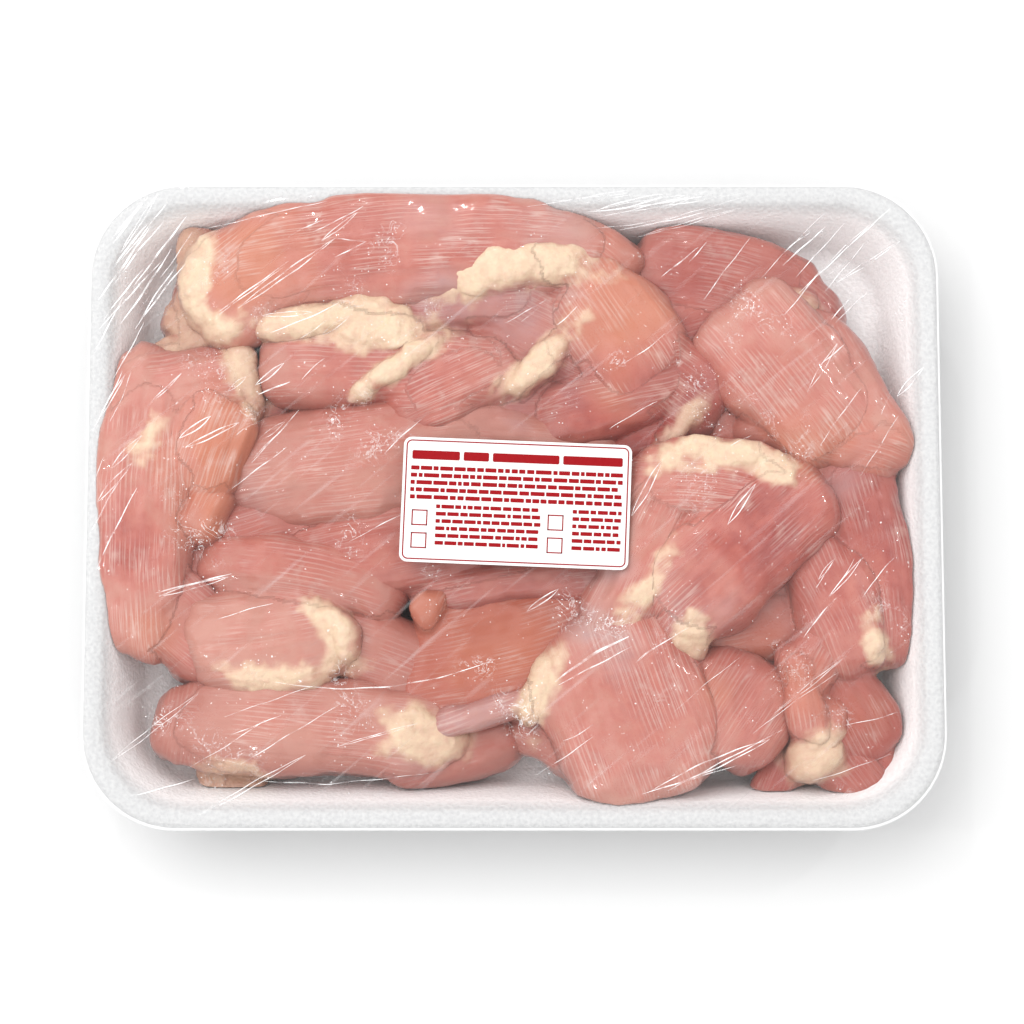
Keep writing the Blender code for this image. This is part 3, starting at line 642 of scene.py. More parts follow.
# Places in plan, in millimetres, where the colour leaves its muscle's look: x, y, reach, then what is
# added to the tone, the warmth and the veil.
Patch = namedtuple("Patch", "x y reach tone warmth veil")
PATCHES = [Patch(*row) for row in (
    (29, -44, 12, -0.1, 0.0, 0.7), (-27, 92, 10, -0.1, 0.0, 0.4), (14, 92, 14, -0.1, 0.0, 0.5),
    (-89, 74, 15, 0.1, 0.9, 0.0), (-24, 65, 11, 0.0, 0.0, 0.9), (-2, 62, 11, 0.1, 0.0, 0.9),
    (0, 31, 7, 0.2, 0.0, 0.9), (105, 7, 7, 0.0, 0.0, 0.8), (80, -6, 15, 0.28, 0.0, 0.0),
    (-30, -79, 9, 0.0, 0.0, 0.7), (-123, -14, 14, 0.3, 0.0, 0.0), (-92, 22, 11, 0.1, 0.9, 0.0),
    (91, 20, 14, 0.1, 0.6, 0.0), (59, 76, 14, 0.2, 0.0, 0.0), (-5, -44, 18, 0.05, 0.4, 0.0),
    (30, -22, 8, -0.1, 0.0, 0.7), (22, -38, 7, -0.1, 0.0, 0.9), (-84, 0, 7, -0.1, 0.0, 0.6),
    (-60, 84, 16, 0.2, 0.3, 0.0), (66, -60, 10, 0.1, 0.5, 0.0), (-20, -12, 16, 0.18, 0.0, 0.0),
    (-112, -40, 12, 0.0, 0.6, 0.0), (112, -64, 14, 0.2, 0.4, 0.0), (20, 40, 9, 0.25, 0.0, 0.2),
    (38, 30, 26, 0.30, 0.0, 0.0), (54, 40, 16, 0.20, 0.0, 0.0), (-45, 42, 32, 0.18, 0.0, 0.0),
    (91, -60, 16, 0.10, 0.5, 0.0), (36, -60, 24, 0.12, 0.0, 0.1), (109, -12, 30, 0.12, 0.0, 0.0),
)]
print(len(THIGHS), "thighs,", sum(len(lobes) for lobes in THIGHS.values()), "muscles and fat pads")

# %% [markdown]
# ## One skin over a thigh's muscles
#
# The pillows overlap, and a real thigh has no inner walls. A voxel remesh at under a millimetre
# melts them into one closed skin with creases where two muscles meet, and a few rounds of smoothing
# soften those creases the way connective tissue does. Then every point of the skin is moved along
# its normal: long soft bundles along each muscle, and small round lumps on the fat.

# %% Skin of one thigh
LOBE_POWER = 2.9
LOBE_WOBBLE = 0.035
FLATTEN = 0.78
FAT_SINK = 1.4
SKIN_STEP = 0.85 * MM
SMOOTHING = 3


def unit_sphere():
    shape = bmesh.new()
    bmesh.ops.create_uvsphere(
        shape, u_segments=40, v_segments=28, radius=1.0, matrix=Matrix.Rotation(math.pi / 2, 4, "Y")
    )
    points = np.array([v.co[:] for v in shape.verts])
    faces = [[v.index for v in f.verts] for f in shape.faces]
    shape.free()
    return points, faces


sphere_points, sphere_faces = unit_sphere()


def pillow(lobe, number):
    """The sphere's points shaped into one muscle or fat pad, as in the solid."""
    reach = (np.abs(sphere_points) ** LOBE_POWER).sum(axis=1) ** (1 / LOBE_POWER)
    along, across, up = (sphere_points / reach[:, None]).T
    phase = 2.4 * number
    uneven = 1 + LOBE_WOBBLE * (
        np.sin(3.1 * along + phase) * np.cos(2.3 * across - phase)
        + 0.6 * np.sin(5.3 * along * across + 1.7 * phase)
    )
    x = lobe.length / 2 * along * uneven
    y = lobe.width / 2 * across * uneven + lobe.bend * (1 - along * along)
    crown = lobe.crown - FAT_SINK if lobe.name.startswith("fat") else lobe.crown
    up = np.sign(up) * np.abs(up) ** FLATTEN
    z = (crown - lobe.base) / 2 * up + (crown + lobe.base) / 2
    turn = math.radians(lobe.heading)
    return MM * np.column_stack([
        lobe.x + x * math.cos(turn) - y * math.sin(turn),
        lobe.y + x * math.sin(turn) + y * math.cos(turn),
        z,
    ])


def place_on(lobe, points):
    """Where points lie on a muscle: millimetres along it and across it, and how far outside it in plan."""
    turn = math.radians(lobe.heading)
    dx, dy = points[:, 0] / MM - lobe.x, points[:, 1] / MM - lobe.y
    along = dx * math.cos(turn) + dy * math.sin(turn)
    across = dy * math.cos(turn) - dx * math.sin(turn)
    across = across - lobe.bend * (1 - np.clip(2 * along / lobe.length, -1, 1) ** 2)
    shape = (np.abs(2 * along / lobe.length) ** LOBE_POWER + np.abs(2 * across / lobe.width) ** LOBE_POWER)
    outside = (shape ** (1 / LOBE_POWER) - 1) * min(lobe.length, lobe.width) / 2
    return along, across, outside


def skin_of(name, lobes):
    parts = [pillow(lobe, number) for number, lobe in enumerate(lobes)]
    faces = [
        [corner + number * len(sphere_points) for corner in face]
        for number in range(len(lobes)) for face in sphere_faces
    ]
    thigh = new_piece(name.replace("thigh", "meat"), np.concatenate(parts), faces)
    skin = thigh.modifiers.new("skin", "REMESH")
    skin.mode = "VOXEL"
    skin.voxel_size = SKIN_STEP
    soften = thigh.modifiers.new("soften", "SMOOTH")
    soften.factor = 0.5
    soften.iterations = SMOOTHING
    bake_modifiers(thigh)
    thigh.data.shade_smooth()
    return thigh


def read_muscles(points, lobes):
    """For every point: how fat, deep, warm and veiled it is, and its place along its muscle's fibres."""
    fat_edge = np.full(len(points), 50.0)
    nearest = np.full(len(points), np.inf)
    fibre = np.zeros((len(points), 3))
    total = np.full(len(points), 1e-9)
    look = np.zeros((len(points), 3))
    height = points[:, 2] / MM
    for number, lobe in enumerate(lobes):
        along, across, outside = place_on(lobe, points)
        if lobe.name.startswith("fat"):
            fat_edge = np.minimum(fat_edge, outside)
            continue
        below = np.clip(height - lobe.crown, 0, None)
        distance = np.clip(outside, 0, None) + 1.5 * below + 0.02 * np.abs(height - lobe.crown)
        weight = np.exp(-((distance / 3.5) ** 2)) + 1e-7
        look += weight[:, None] * np.array(LOOKS[lobe.look])
        look[:, 0] += weight * (0.20 * np.clip(-outside / 9, 0, 1) - 0.12)
        total += weight
        closer = distance < nearest
        nearest = np.where(closer, distance, nearest)
        place = np.column_stack([along, across, height + 40 * number])
        fibre = np.where(closer[:, None], place, fibre)
    look /= total[:, None]
    for patch in PATCHES:
        away = np.hypot(points[:, 0] / MM - patch.x, points[:, 1] / MM - patch.y)
        away += 0.35 * patch.reach * noise(points, patch.reach * MM, int(patch.x + 200))
        near = np.clip(1.25 - away / patch.reach, 0, 1)
        look += near[:, None] * (patch.tone, patch.warmth, patch.veil)
    return fat_edge, np.clip(look, 0, 1), fibre


FAT_BORDER = 4.0
LABEL_HEADING = math.radians(-2.3)
LABEL_LENGTH = 72 * MM
LABEL_WIDTH = 39.6 * MM
label_low, label_high = (np.array(corner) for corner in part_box("label"))
label_centre = (label_low + label_high) / 2


def label_bed(x, y):
    """The height that meat stays under: flat below the label, and rising away from it."""
    dx, dy = x - label_centre[0], y - label_centre[1]
    along = np.abs(dx * math.cos(LABEL_HEADING) + dy * math.sin(LABEL_HEADING)) - LABEL_LENGTH / 2
    across = np.abs(dy * math.cos(LABEL_HEADING) - dx * math.sin(LABEL_HEADING)) - LABEL_WIDTH / 2
    outside = np.clip(np.maximum(along, across) - 1 * MM, 0, None)
    return label_low[2] - 0.5 * MM + 0.3 * outside


def pressed(heights, ceiling, softness=1.5 * MM):
    """Heights kept under a ceiling, with a rounded corner where they meet it."""
    share = np.clip(0.5 + (ceiling - heights) / (2 * softness), 0, 1)
    return ceiling + share * (heights - ceiling) - softness * share * (1 - share)


BUNDLE = np.array([38.0, 2.6, 9.0])
FINE_FIBRE = np.array([26.0, 0.9, 4.0])


WALL_GAP = 0.4 * MM
wall_insets, wall_heights = np.array(inside[::-1]).T


def kept_inside(points):
    """Points pushed in from the tray's inner wall, so that no meat goes through it."""
    x, y, z = points.T
    inset = inset_of(x, y)
    wall = np.interp(z, wall_heights, wall_insets) + WALL_GAP
    push = -pressed(-inset, -wall) - inset
    step = 0.1 * MM
    inward_x = (inset_of(x + step, y) - inset_of(x - step, y)) / (2 * step)
    inward_y = (inset_of(x, y + step) - inset_of(x, y - step)) / (2 * step)
    return np.column_stack([x + push * inward_x, y + push * inward_y, z])


def work_surface(thigh, lobes, seed):
    points = points_of(thigh.data)
    for axis in (0, 1):
        shove = 2.1 * noise(points, 19 * MM, seed + 8 + axis) + 0.9 * noise(points, 8 * MM, seed + 12 + axis)
        points[:, axis] += MM * shove
    set_points(thigh.data, points)
    fat_edge, look, fibre = read_muscles(points, lobes)
    ragged = fat_edge + 2.2 * noise(points, 6 * MM, seed) + 1.0 * noise(points, 2 * MM, seed + 1)
    fat = np.clip(0.5 - ragged / (2 * FAT_BORDER), 0, 1)
    solid_fat = np.clip((fat - 0.35) / 0.5, 0, 1)
    muscle = 1 - solid_fat
    lift = 0.9 * noise(points, 22 * MM, seed + 2) + 0.65 * noise(points, 9 * MM, seed + 3)
    lift += 0.22 * noise(points, 3.5 * MM, seed + 14) + 0.6
    lift += muscle * (0.30 * noise(fibre, BUNDLE, seed + 4) + 0.09 * noise(fibre, FINE_FIBRE, seed + 5))
    lumps = 1.0 * np.abs(noise(points, 4.6 * MM, seed + 6)) + 0.5 * np.abs(noise(points, 2.1 * MM, seed + 7))
    lift += solid_fat * (0.5 + lumps)
    points = kept_inside(points + MM * lift[:, None] * normals_of(thigh.data))
    points[:, 2] = pressed(points[:, 2], label_bed(points[:, 0], points[:, 1]))
    set_points(thigh.data, points)
    store(thigh.data, "fat", fat)
    store(thigh.data, "tone", look[:, 0])
    store(thigh.data, "warmth", look[:, 1])
    store(thigh.data, "veil", look[:, 2])
    store(thigh.data, "fibre", fibre)


thighs = {}
for number, (name, lobes) in enumerate(THIGHS.items()):
    thigh = skin_of(name, lobes)
    work_surface(thigh, lobes, 11 * number)
    thighs[name] = thigh
print("meat faces", sum(len(thigh.data.polygons) for thigh in thighs.values()))

# %% [markdown]
# ## Raw meat
#
# Raw thigh meat is soft to look at, because light spreads a little way under its surface. Subsurface
# scattering would work that out, but it makes the picture take a quarter longer, so the softness is
# painted: broad patches of colour fade into each other, with a milky haze over some of them. The
# colour follows what was stored on the points: pale to deep pink by tone, orange by warmth, a
# lilac veil, and cream fat with a ragged border. Thin pale lines run along the fibres, and the same
# pale colour is a painted highlight on small convex ridges. Hollows and the deep gaps under the film
# get a painted shade of dark red, and white flecks are painted glints of the wet surface.

# %% Meat material
PALE_PINK = (0.456, 0.205, 0.158, 1)
MID_PINK = (0.437, 0.141, 0.106, 1)
DEEP_PINK = (0.361, 0.082, 0.061, 1)
DARK_RED = (0.257, 0.036, 0.029, 1)
WARM_ORANGE = (0.456, 0.159, 0.09, 1)
MILKY_VEIL = (0.38, 0.26, 0.255, 1)
MILKY_HAZE = (0.513, 0.3, 0.252, 1)
CREAM_FAT = (0.66, 0.52, 0.35, 1)
PINK_FAT = (0.60, 0.38, 0.275, 1)
# Pale fibre lines; the same colour is the painted highlight on convex ridges.
PALE_LINE_AND_HIGHLIGHT = (0.58, 0.42, 0.37, 1)
# Dark red of the painted shade in hollows and in the gaps between muscles.
CREVICE_SHADE = (0.22, 0.030, 0.022, 1)
# White of the painted glints on the wet meat.
GLINT_WHITE = (0.90, 0.86, 0.84, 1)


def centred(tree, noise_node, gain, base):
    """A noise of 0..1 swung about its middle and added to a base value."""
    return maths(tree, "MULTIPLY_ADD", less(tree, noise_node.outputs["Fac"], 0.5), gain, base)


def step_up(tree, value, low, high):
    """0 below low, 1 above high and a smooth step between them."""
    return add(
        tree, "MapRange", {"interpolation_type": "SMOOTHSTEP"}, Value=value, From_Min=low, From_Max=high
    ).outputs[0]


def raw_chicken():
    made, tree, place = new_material("raw_chicken")
    bend = place.node.outputs["Pointiness"]
    read = {
        name: add(tree, "Attribute", {"attribute_name": name}).outputs["Fac"]
        for name in ("fat", "tone", "warmth", "veil", "gap_shade")
    }
    fibre = add(tree, "Attribute", {"attribute_name": "fibre"}).outputs["Vector"]
    blotch = add(tree, "TexNoise", Vector=place, Scale=1 / (15 * MM), Detail=2.0, Roughness=0.55)
    patch = add(tree, "TexNoise", Vector=place, Scale=1 / (5 * MM), Detail=3.0, Roughness=0.65)
    streak_place = add(tree, "Mapping", Vector=fibre, Scale=(0.03, 0.30, 0.15))
    streaks = add(tree, "TexNoise", Vector=streak_place.outputs[0], Scale=1.0, Detail=2.0)
    thread_place = add(tree, "Mapping", Vector=fibre, Scale=(0.022, 0.8, 0.1))
    threads = add(tree, "TexNoise", Vector=thread_place.outputs[0], Scale=1.0, Detail=0.0)
    crest = maths(tree, "ABSOLUTE", less(tree, threads.outputs["Fac"], 0.5))
    line = less(tree, 1.0, times(tree, crest, 26.0), clamp=True)
    bands = add(
        tree, "TexWave", {"wave_type": "BANDS", "bands_direction": "Y"}, Vector=fibre,
        Scale=0.21, Distortion=5.0, Detail=1.0, Detail_Scale=0.25, Detail_Roughness=0.5,
    )
    strand = step_up(tree, bands.outputs["Fac"], 0.72, 1.0)

    tone = centred(tree, blotch, 0.9, read["tone"])
    tone = centred(tree, patch, 0.60, tone)
    tone = centred(tree, streaks, 0.25, tone)
    ramp = add(tree, "ValToRGB", Fac=tone)
    pinks = ramp.color_ramp.elements
    pinks[0].color, pinks[0].position = PALE_PINK, 0.1
    pinks[1].color, pinks[1].position = DARK_RED, 1.0
    pinks.new(0.42).color = MID_PINK
    pinks.new(0.70).color = DEEP_PINK
    warm = step_up(tree, centred(tree, patch, 0.5, centred(tree, blotch, 0.6, read["warmth"])), 0.1, 0.95)
    colour = blend_colours(tree, times(tree, warm, 0.85), ramp.outputs[0], WARM_ORANGE)
    haze = step_up(tree, blotch.outputs["Fac"], 0.52, 0.72)
    haze = times(tree, haze, step_up(tree, patch.outputs["Fac"], 0.42, 0.66))
    colour = blend_colours(tree, times(tree, haze, 0.70), colour, MILKY_HAZE)
    torn = maths(tree, "MULTIPLY_ADD", patch.outputs["Fac"], 1.2, 0.1)
    veil = times(tree, read["veil"], torn, clamp=True)
    colour = blend_colours(tree, times(tree, veil, 0.75), colour, MILKY_VEIL)
    shown = step_up(tree, blotch.outputs["Fac"], 0.42, 0.60)
    pale = highest(tree, times(tree, line, 0.55), times(tree, strand, 0.30))
    colour = blend_colours(tree, times(tree, pale, shown), colour, PALE_LINE_AND_HIGHLIGHT)

    pores = add(tree, "TexNoise", Vector=place, Scale=1 / (1.6 * MM), Detail=1.0)
    marbled = less(tree, patch.outputs["Fac"], 0.5)
    marbled = maths(tree, "MULTIPLY_ADD", pores.outputs["Fac"], 0.9, marbled)
    fat_colour = blend_colours(tree, marbled, CREAM_FAT, PINK_FAT)
    fat_edge = centred(tree, patch, 0.5, read["fat"])
    fat = step_up(tree, fat_edge, 0.22, 0.72)
    colour = blend_colours(tree, fat, colour, fat_colour)
    # Painted shade: concave hollows, found by pointiness, and points lying deep below the film are darkened
    # towards dark red.
    hollow_shade = less(tree, 1.0, step_up(tree, bend, 0.40, 0.485))
    dark = highest(tree, times(tree, hollow_shade, 0.45), times(tree, read["gap_shade"], 0.5))
    colour = blend_colours(tree, dark, colour, CREVICE_SHADE)
    # Painted highlight: convex ridges, found by pointiness, are lightened with the pale line colour.
    edge = step_up(tree, bend, 0.515, 0.58)
    colour = blend_colours(tree, times(tree, edge, 0.35), colour, PALE_LINE_AND_HIGHLIGHT)
    # Painted glints: small white flecks where the wet surface would catch a lamp.
    wet = add(tree, "TexNoise", Vector=place, Scale=1 / (1.3 * MM), Detail=2.0, Roughness=0.6)
    busy = add(tree, "TexNoise", Vector=place, Scale=1 / (8 * MM), Detail=1.0)
    painted_glint = step_up(tree, wet.outputs["Fac"], 0.68, 0.74)
    painted_glint = times(tree, painted_glint, step_up(tree, busy.outputs["Fac"], 0.53, 0.63))
    colour = blend_colours(tree, times(tree, painted_glint, 0.8), colour, GLINT_WHITE)

    fat_pores = times(tree, fat, 0.8)
    height = maths(tree, "MULTIPLY_ADD", pores.outputs["Fac"], fat_pores, streaks.outputs["Fac"])
    bump = add(tree, "Bump", Height=height, Strength=0.7, Distance=0.45 * MM)
    shader = add(
        tree, "BsdfPrincipled", Base_Color=colour, Roughness=0.30, Normal=bump.outputs[0], IOR=1.38,
        Coat_Weight=0.7, Coat_Roughness=0.06, Coat_IOR=1.33,
    )
    show(tree, shader)
    return made


meat_material = raw_chicken()
for name, thigh in thighs.items():
    thigh.data.materials.append(meat_material)
    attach(thigh, "root")
    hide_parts(name)
print("meat pieces", len(thighs))

# %% [markdown]
# ## Stretch film
#
# The film is one tight sheet. It clings to the wet meat, bridges the gaps between the thighs, and
# spans from the meat to the rim. Cloth simulation could find that shape, but a tight sheet is also
# what repeated averaging gives: each point moves to the mean of its neighbours unless the meat is
# higher. That is quick on a grid, first coarse and then fine. A little noise on the height then
# breaks up the reflections, as on real film.

# %% Heights of the meat under the film
FILM_CELL = 0.9 * MM
FILM_OFF_MEAT = 0.40 * MM
FILM_OFF_RIM = 0.45 * MM
xs = np.arange(-tray_length / 2, tray_length / 2 + FILM_CELL, FILM_CELL)
ys = np.arange(-tray_width / 2, tray_width / 2 + FILM_CELL, FILM_CELL)
grid_x, grid_y = np.meshgrid(xs, ys, indexing="ij")


def spread(heights, cells=1):
    """Each cell raised to the highest within so many cells of it."""
    raised = heights.copy()
    for dx in range(-cells, cells + 1):
        for dy in range(-cells, cells + 1):
            raised = np.maximum(raised, np.roll(np.roll(heights, dx, 0), dy, 1))
    return raised


def meat_heights():
    heights = np.full(grid_x.shape, floor_z)
    for thigh in thighs.values():
        points = points_of(thigh.data)
        i = np.clip(((points[:, 0] - xs[0]) / FILM_CELL).round().astype(int), 0, len(xs) - 1)
        j = np.clip(((points[:, 1] - ys[0]) / FILM_CELL).round().astype(int), 0, len(ys) - 1)
        np.maximum.at(heights, (i, j), points[:, 2])
    return spread(heights)


meat_top = meat_heights()
inset = inset_of(grid_x, grid_y)
on_rim = inset < 0.85 * RIM_WIDTH
print("highest meat", round(meat_top.max() / MM, 1), "mm")

# %% Tight sheet
def averaged(sheet, under, held, rounds):
    for _ in range(rounds):
        mean = (
            np.roll(sheet, 1, 0) + np.roll(sheet, -1, 0) + np.roll(sheet, 1, 1) + np.roll(sheet, -1, 1)
        ) / 4
        sheet = np.where(held, under, np.maximum(mean, under))
    return sheet


def tight_sheet():
    rim_level = rim_z + FILM_OFF_RIM
    under = np.where(on_rim, np.maximum(rim_level, meat_top + FILM_OFF_MEAT), meat_top + FILM_OFF_MEAT)
    sheet = np.full_like(under, rim_level)
    for stride in (8, 4, 2, 1):
        coarse_under = spread(under, stride // 2)[::stride, ::stride] if stride > 1 else under
        coarse_held = on_rim[::stride, ::stride]
        if stride == 8:
            sheet = np.maximum(coarse_under, rim_level)
        else:
            sheet = np.repeat(np.repeat(sheet, 2, 0), 2, 1)[:coarse_under.shape[0], :coarse_under.shape[1]]
        sheet = averaged(sheet, coarse_under, coarse_held, 160 if stride > 1 else 60)
    return sheet


def cover_depth(points):
    """0 where the film clings and 1 at the bottom of a deep gap between muscles."""
    i = np.clip(((points[:, 0] - xs[0]) / FILM_CELL).round().astype(int), 0, len(xs) - 1)
    j = np.clip(((points[:, 1] - ys[0]) / FILM_CELL).round().astype(int), 0, len(ys) - 1)
    below = (sheet[i, j] - points[:, 2]) / MM
    return np.clip((below - 1.8) / 6.0, 0, 1)


sheet = tight_sheet()
eased = sheet
for _ in range(14):
    eased = averaged(eased, eased * 0, eased < 0, 1)
near_rim = np.clip((26 * MM - inset) / (6 * MM), 0, 1)
lowest = np.where(on_rim, rim_z + 0.12 * MM, meat_top + FILM_OFF_MEAT)
sheet = np.maximum(sheet + near_rim * (eased - sheet), lowest)
# How deep each meat point lies below the film, kept for the painted shade in the gaps between muscles.
for thigh in thighs.values():
    store(thigh.data, "gap_shade", cover_depth(points_of(thigh.data)))
print("film from", round(sheet.min() / MM, 1), "to", round(sheet.max() / MM, 1), "mm")

# %% Sheet mesh fitted to the tray's outline
SHEET_COLUMNS = 290
SHEET_ROWS = 222
EDGE_INSET = 1.2 * MM

flat_points = np.column_stack([grid_x.ravel(), grid_y.ravel(), np.zeros(grid_x.size)])
crinkle = 0.05 * MM * noise(flat_points, 7 * MM, 91) + 0.03 * MM * noise(flat_points, 2.6 * MM, 92)
film_height = sheet + np.where(on_rim, 0.3, 1.0) * crinkle.reshape(grid_x.shape)
film_height = np.minimum(film_height, label_bed(grid_x, grid_y) + 0.45 * MM)


def height_at(x, y):
    """The film's height at plan points, blended between the four nearest grid points."""
    i = np.clip((x - xs[0]) / FILM_CELL, 0, len(xs) - 1.001)
    j = np.clip((y - ys[0]) / FILM_CELL, 0, len(ys) - 1.001)
    i0, j0 = i.astype(int), j.astype(int)
    u, v = i - i0, j - j0
    near = film_height[i0, j0] * (1 - v) + film_height[i0, j0 + 1] * v
    far = film_height[i0 + 1, j0] * (1 - v) + film_height[i0 + 1, j0 + 1] * v
    return near * (1 - u) + far * u


def round_corners(s, t, half_length, half_width, radius):
    """Maps the square -1..1 by -1..1 onto a rounded rectangle, ring by ring from the middle."""
    ring = np.maximum(np.maximum(abs(s), abs(t)), 1e-9)
    x, y = abs(s) / ring * half_length, abs(t) / ring * half_width
    over_x = (x - (half_length - radius)) / radius
    over_y = (y - (half_width - radius)) / radius
    turn = math.pi / 4 * np.where(over_x >= over_y, over_y, 2 - over_x)
    corner = (over_x > 0) & (over_y > 0)
    x = np.where(corner, half_length - radius + radius * np.cos(turn), x)
    y = np.where(corner, half_width - radius + radius * np.sin(turn), y)
    return np.copysign(x * ring, s), np.copysign(y * ring, t)


def make_sheet():
    s, t = np.meshgrid(np.linspace(-1, 1, SHEET_COLUMNS), np.linspace(-1, 1, SHEET_ROWS), indexing="ij")
    x, y = round_corners(
        s, t, tray_length / 2 - EDGE_INSET, tray_width / 2 - EDGE_INSET, TRAY_CORNER - EDGE_INSET
    )
    points = np.column_stack([x.ravel(), y.ravel(), height_at(x, y).ravel()])
    made = new_piece("film_sheet", points, grid_faces(np.arange(s.size).reshape(s.shape)))
    past_rim = np.clip((inset_of(points[:, 0], points[:, 1]) - 5 * MM) / (7 * MM), 0, 1)
    crowd = 0.5 + 0.5 * noise(points, 14 * MM, 93) + 0.2 * noise(points, 6 * MM, 94)
    store(made.data, "past_rim", past_rim)
    store(made.data, "crowd", crowd * past_rim)
    return made


film = make_sheet()
print("film faces", len(film.data.polygons))

# %% Film round the rim and under the foot
side_points, side_faces = sweep(rounded([
    (1.3 * MM, rim_z + FILM_OFF_RIM), (0.5 * MM, rim_z + 0.15 * MM), (-0.3 * MM, rim_z - 1.3 * MM),
    (-0.35 * MM, lip_z + 0.6 * MM), (1.2 * MM, lip_z - 1.5 * MM),
    (0.50 * FOOT_INSET, 0.42 * lip_z), (FOOT_INSET - 2.2 * MM, 0.7 * MM), (FOOT_INSET, 0.15 * MM),
    (FOOT_INSET + 8 * MM, 0.15 * MM), (FOOT_INSET + 17 * MM, 0.3 * MM),
], 5))
film_sides = new_piece("film_sides", side_points, side_faces)
print("side faces", len(film_sides.data.polygons))

# %% [markdown]
# ## Creases
#
# Where stretch film is pulled it puckers into creases as thin as a thread: two layers touch, and the
# fold turns white. Its white is also a painted highlight, standing in for the glint that the fold
# throws, so it shows from any side. They run mostly from lower left to upper right. A crease here is a
# narrow tent that follows the sheet and tapers at both ends, and two creases that share their ends
# make the long lens-shaped loops of the real pack.

# %% Crease ribbons
Crease = namedtuple("Crease", "points width height")
CREASE_STEP = 0.8
rng = np.random.default_rng(7)


def bowed(x0, y0, x1, y1, bow, wobble=0.15):
    """Points in plan from one end to the other, bowed to the left by bow millimetres."""
    length = math.hypot(x1 - x0, y1 - y0)
    count = max(5, int(length / CREASE_STEP))
    t = np.linspace(0, 1, count)
    phase = rng.uniform(0, 6.28)
    aside = bow * 4 * t * (1 - t) + wobble * np.sin(t * length / 2.5 + phase) * np.sin(math.pi * t)
    away_x, away_y = -(y1 - y0) / length, (x1 - x0) / length
    return np.column_stack([x0 + t * (x1 - x0) + aside * away_x, y0 + t * (y1 - y0) + aside * away_y])


def needle(x0, y0, x1, y1, width=0.35, bow=0.0):
    return [Crease(bowed(x0, y0, x1, y1, bow), width, 0.5 * width)]


def lens(x0, y0, x1, y1, open_by=1.0, width=0.3):
    """Two creases that share their ends, bowed apart."""
    return [
        Crease(bowed(x0, y0, x1, y1, open_by), width, 0.5 * width),
        Crease(bowed(x0, y0, x1, y1, -open_by), width, 0.5 * width),
    ]


def scatter(count, x_range, y_range, heading, turn, length, width=(0.2, 0.4), loops=0.25):
    """Random needles and loops in a plan area, about one heading in degrees."""
    found = []
    for _ in range(count):
        x, y = rng.uniform(*x_range), rng.uniform(*y_range)
        angle = math.radians(rng.normal(heading, turn))
        reach = rng.uniform(*length) / 2
        ends = (
            x - reach * math.cos(angle), y - reach * math.sin(angle),
            x + reach * math.cos(angle), y + reach * math.sin(angle),
        )
        if rng.random() < loops:
            found += lens(*ends, open_by=rng.uniform(0.3, 0.9), width=rng.uniform(*width) * 0.8)
        else:
            found += needle(*ends, width=rng.uniform(*width), bow=rng.uniform(-0.6, 0.6))
    return found


def crease_mesh(creases):
    points, faces = [], []
    for crease in creases:
        x, y = MM * crease.points.T
        inside = inset_of(x, y) > 1.5 * MM
        if inside.sum() < 4:
            continue
        x, y = x[inside], y[inside]
        run = np.gradient(np.column_stack([x, y]), axis=0)
        run /= np.linalg.norm(run, axis=1)[:, None]
        t = np.linspace(0, 1, len(x))
        half = MM * crease.width / 2 * np.sin(math.pi * np.clip(t, 0.02, 0.98)) ** 0.6
        start = len(points)
        for k in range(len(x)):
            aside = np.array((-run[k, 1], run[k, 0])) * half[k]
            left, right = (x[k] + aside[0], y[k] + aside[1]), (x[k] - aside[0], y[k] - aside[1])
            middle = height_at(x[k:k + 1], y[k:k + 1])[0] + 0.05 * MM
            crest = crease.height * MM * math.sin(math.pi * min(max(t[k], 0.02), 0.98))
            points += [(*left, middle), (x[k], y[k], middle + crest), (*right, middle)]
        for k in range(len(x) - 1):
            a = start + 3 * k
            faces += [(a, a + 3, a + 4, a + 1), (a + 1, a + 4, a + 5, a + 2)]
    return new_piece("film_creases", np.array(points), faces)


# The plainest glints of the real pack first, then the scattered ones.
creases = (
    needle(-94, 61, -72, 77, 0.45) + needle(-94, 60, -73, 75.5, 0.3)
    + lens(-88, 62, -57, 84, 0.8, 0.4) + needle(-57, 84, -47, 83, 0.4) + needle(-47, 83, -57, 78, 0.4)
    + lens(-132, 0, -121, 12, 1.0, 0.35) + lens(-128, 10, -118, 21, 0.8, 0.35)
    + lens(-106, 20, -96, 27, 0.9, 0.4) + lens(-104, 17, -87, 25, 0.8, 0.4)
    + lens(-82, 37, -73, 44, 0.8, 0.4) + needle(-81, 34, -71, 38, 0.5)
    + needle(-83, 12, -68, 29, 0.4) + needle(-89, 4, -72, 17, 0.35)
    + lens(26, 94, 50, 100, 1.1, 0.4) + needle(47, 72, 59, 82, 0.4) + needle(56, 77, 62, 84, 0.35)
    + needle(88, 82, 95, 87, 0.4) + needle(101, 58, 107, 65, 0.4) + needle(98, 44, 105, 50, 0.4)
)
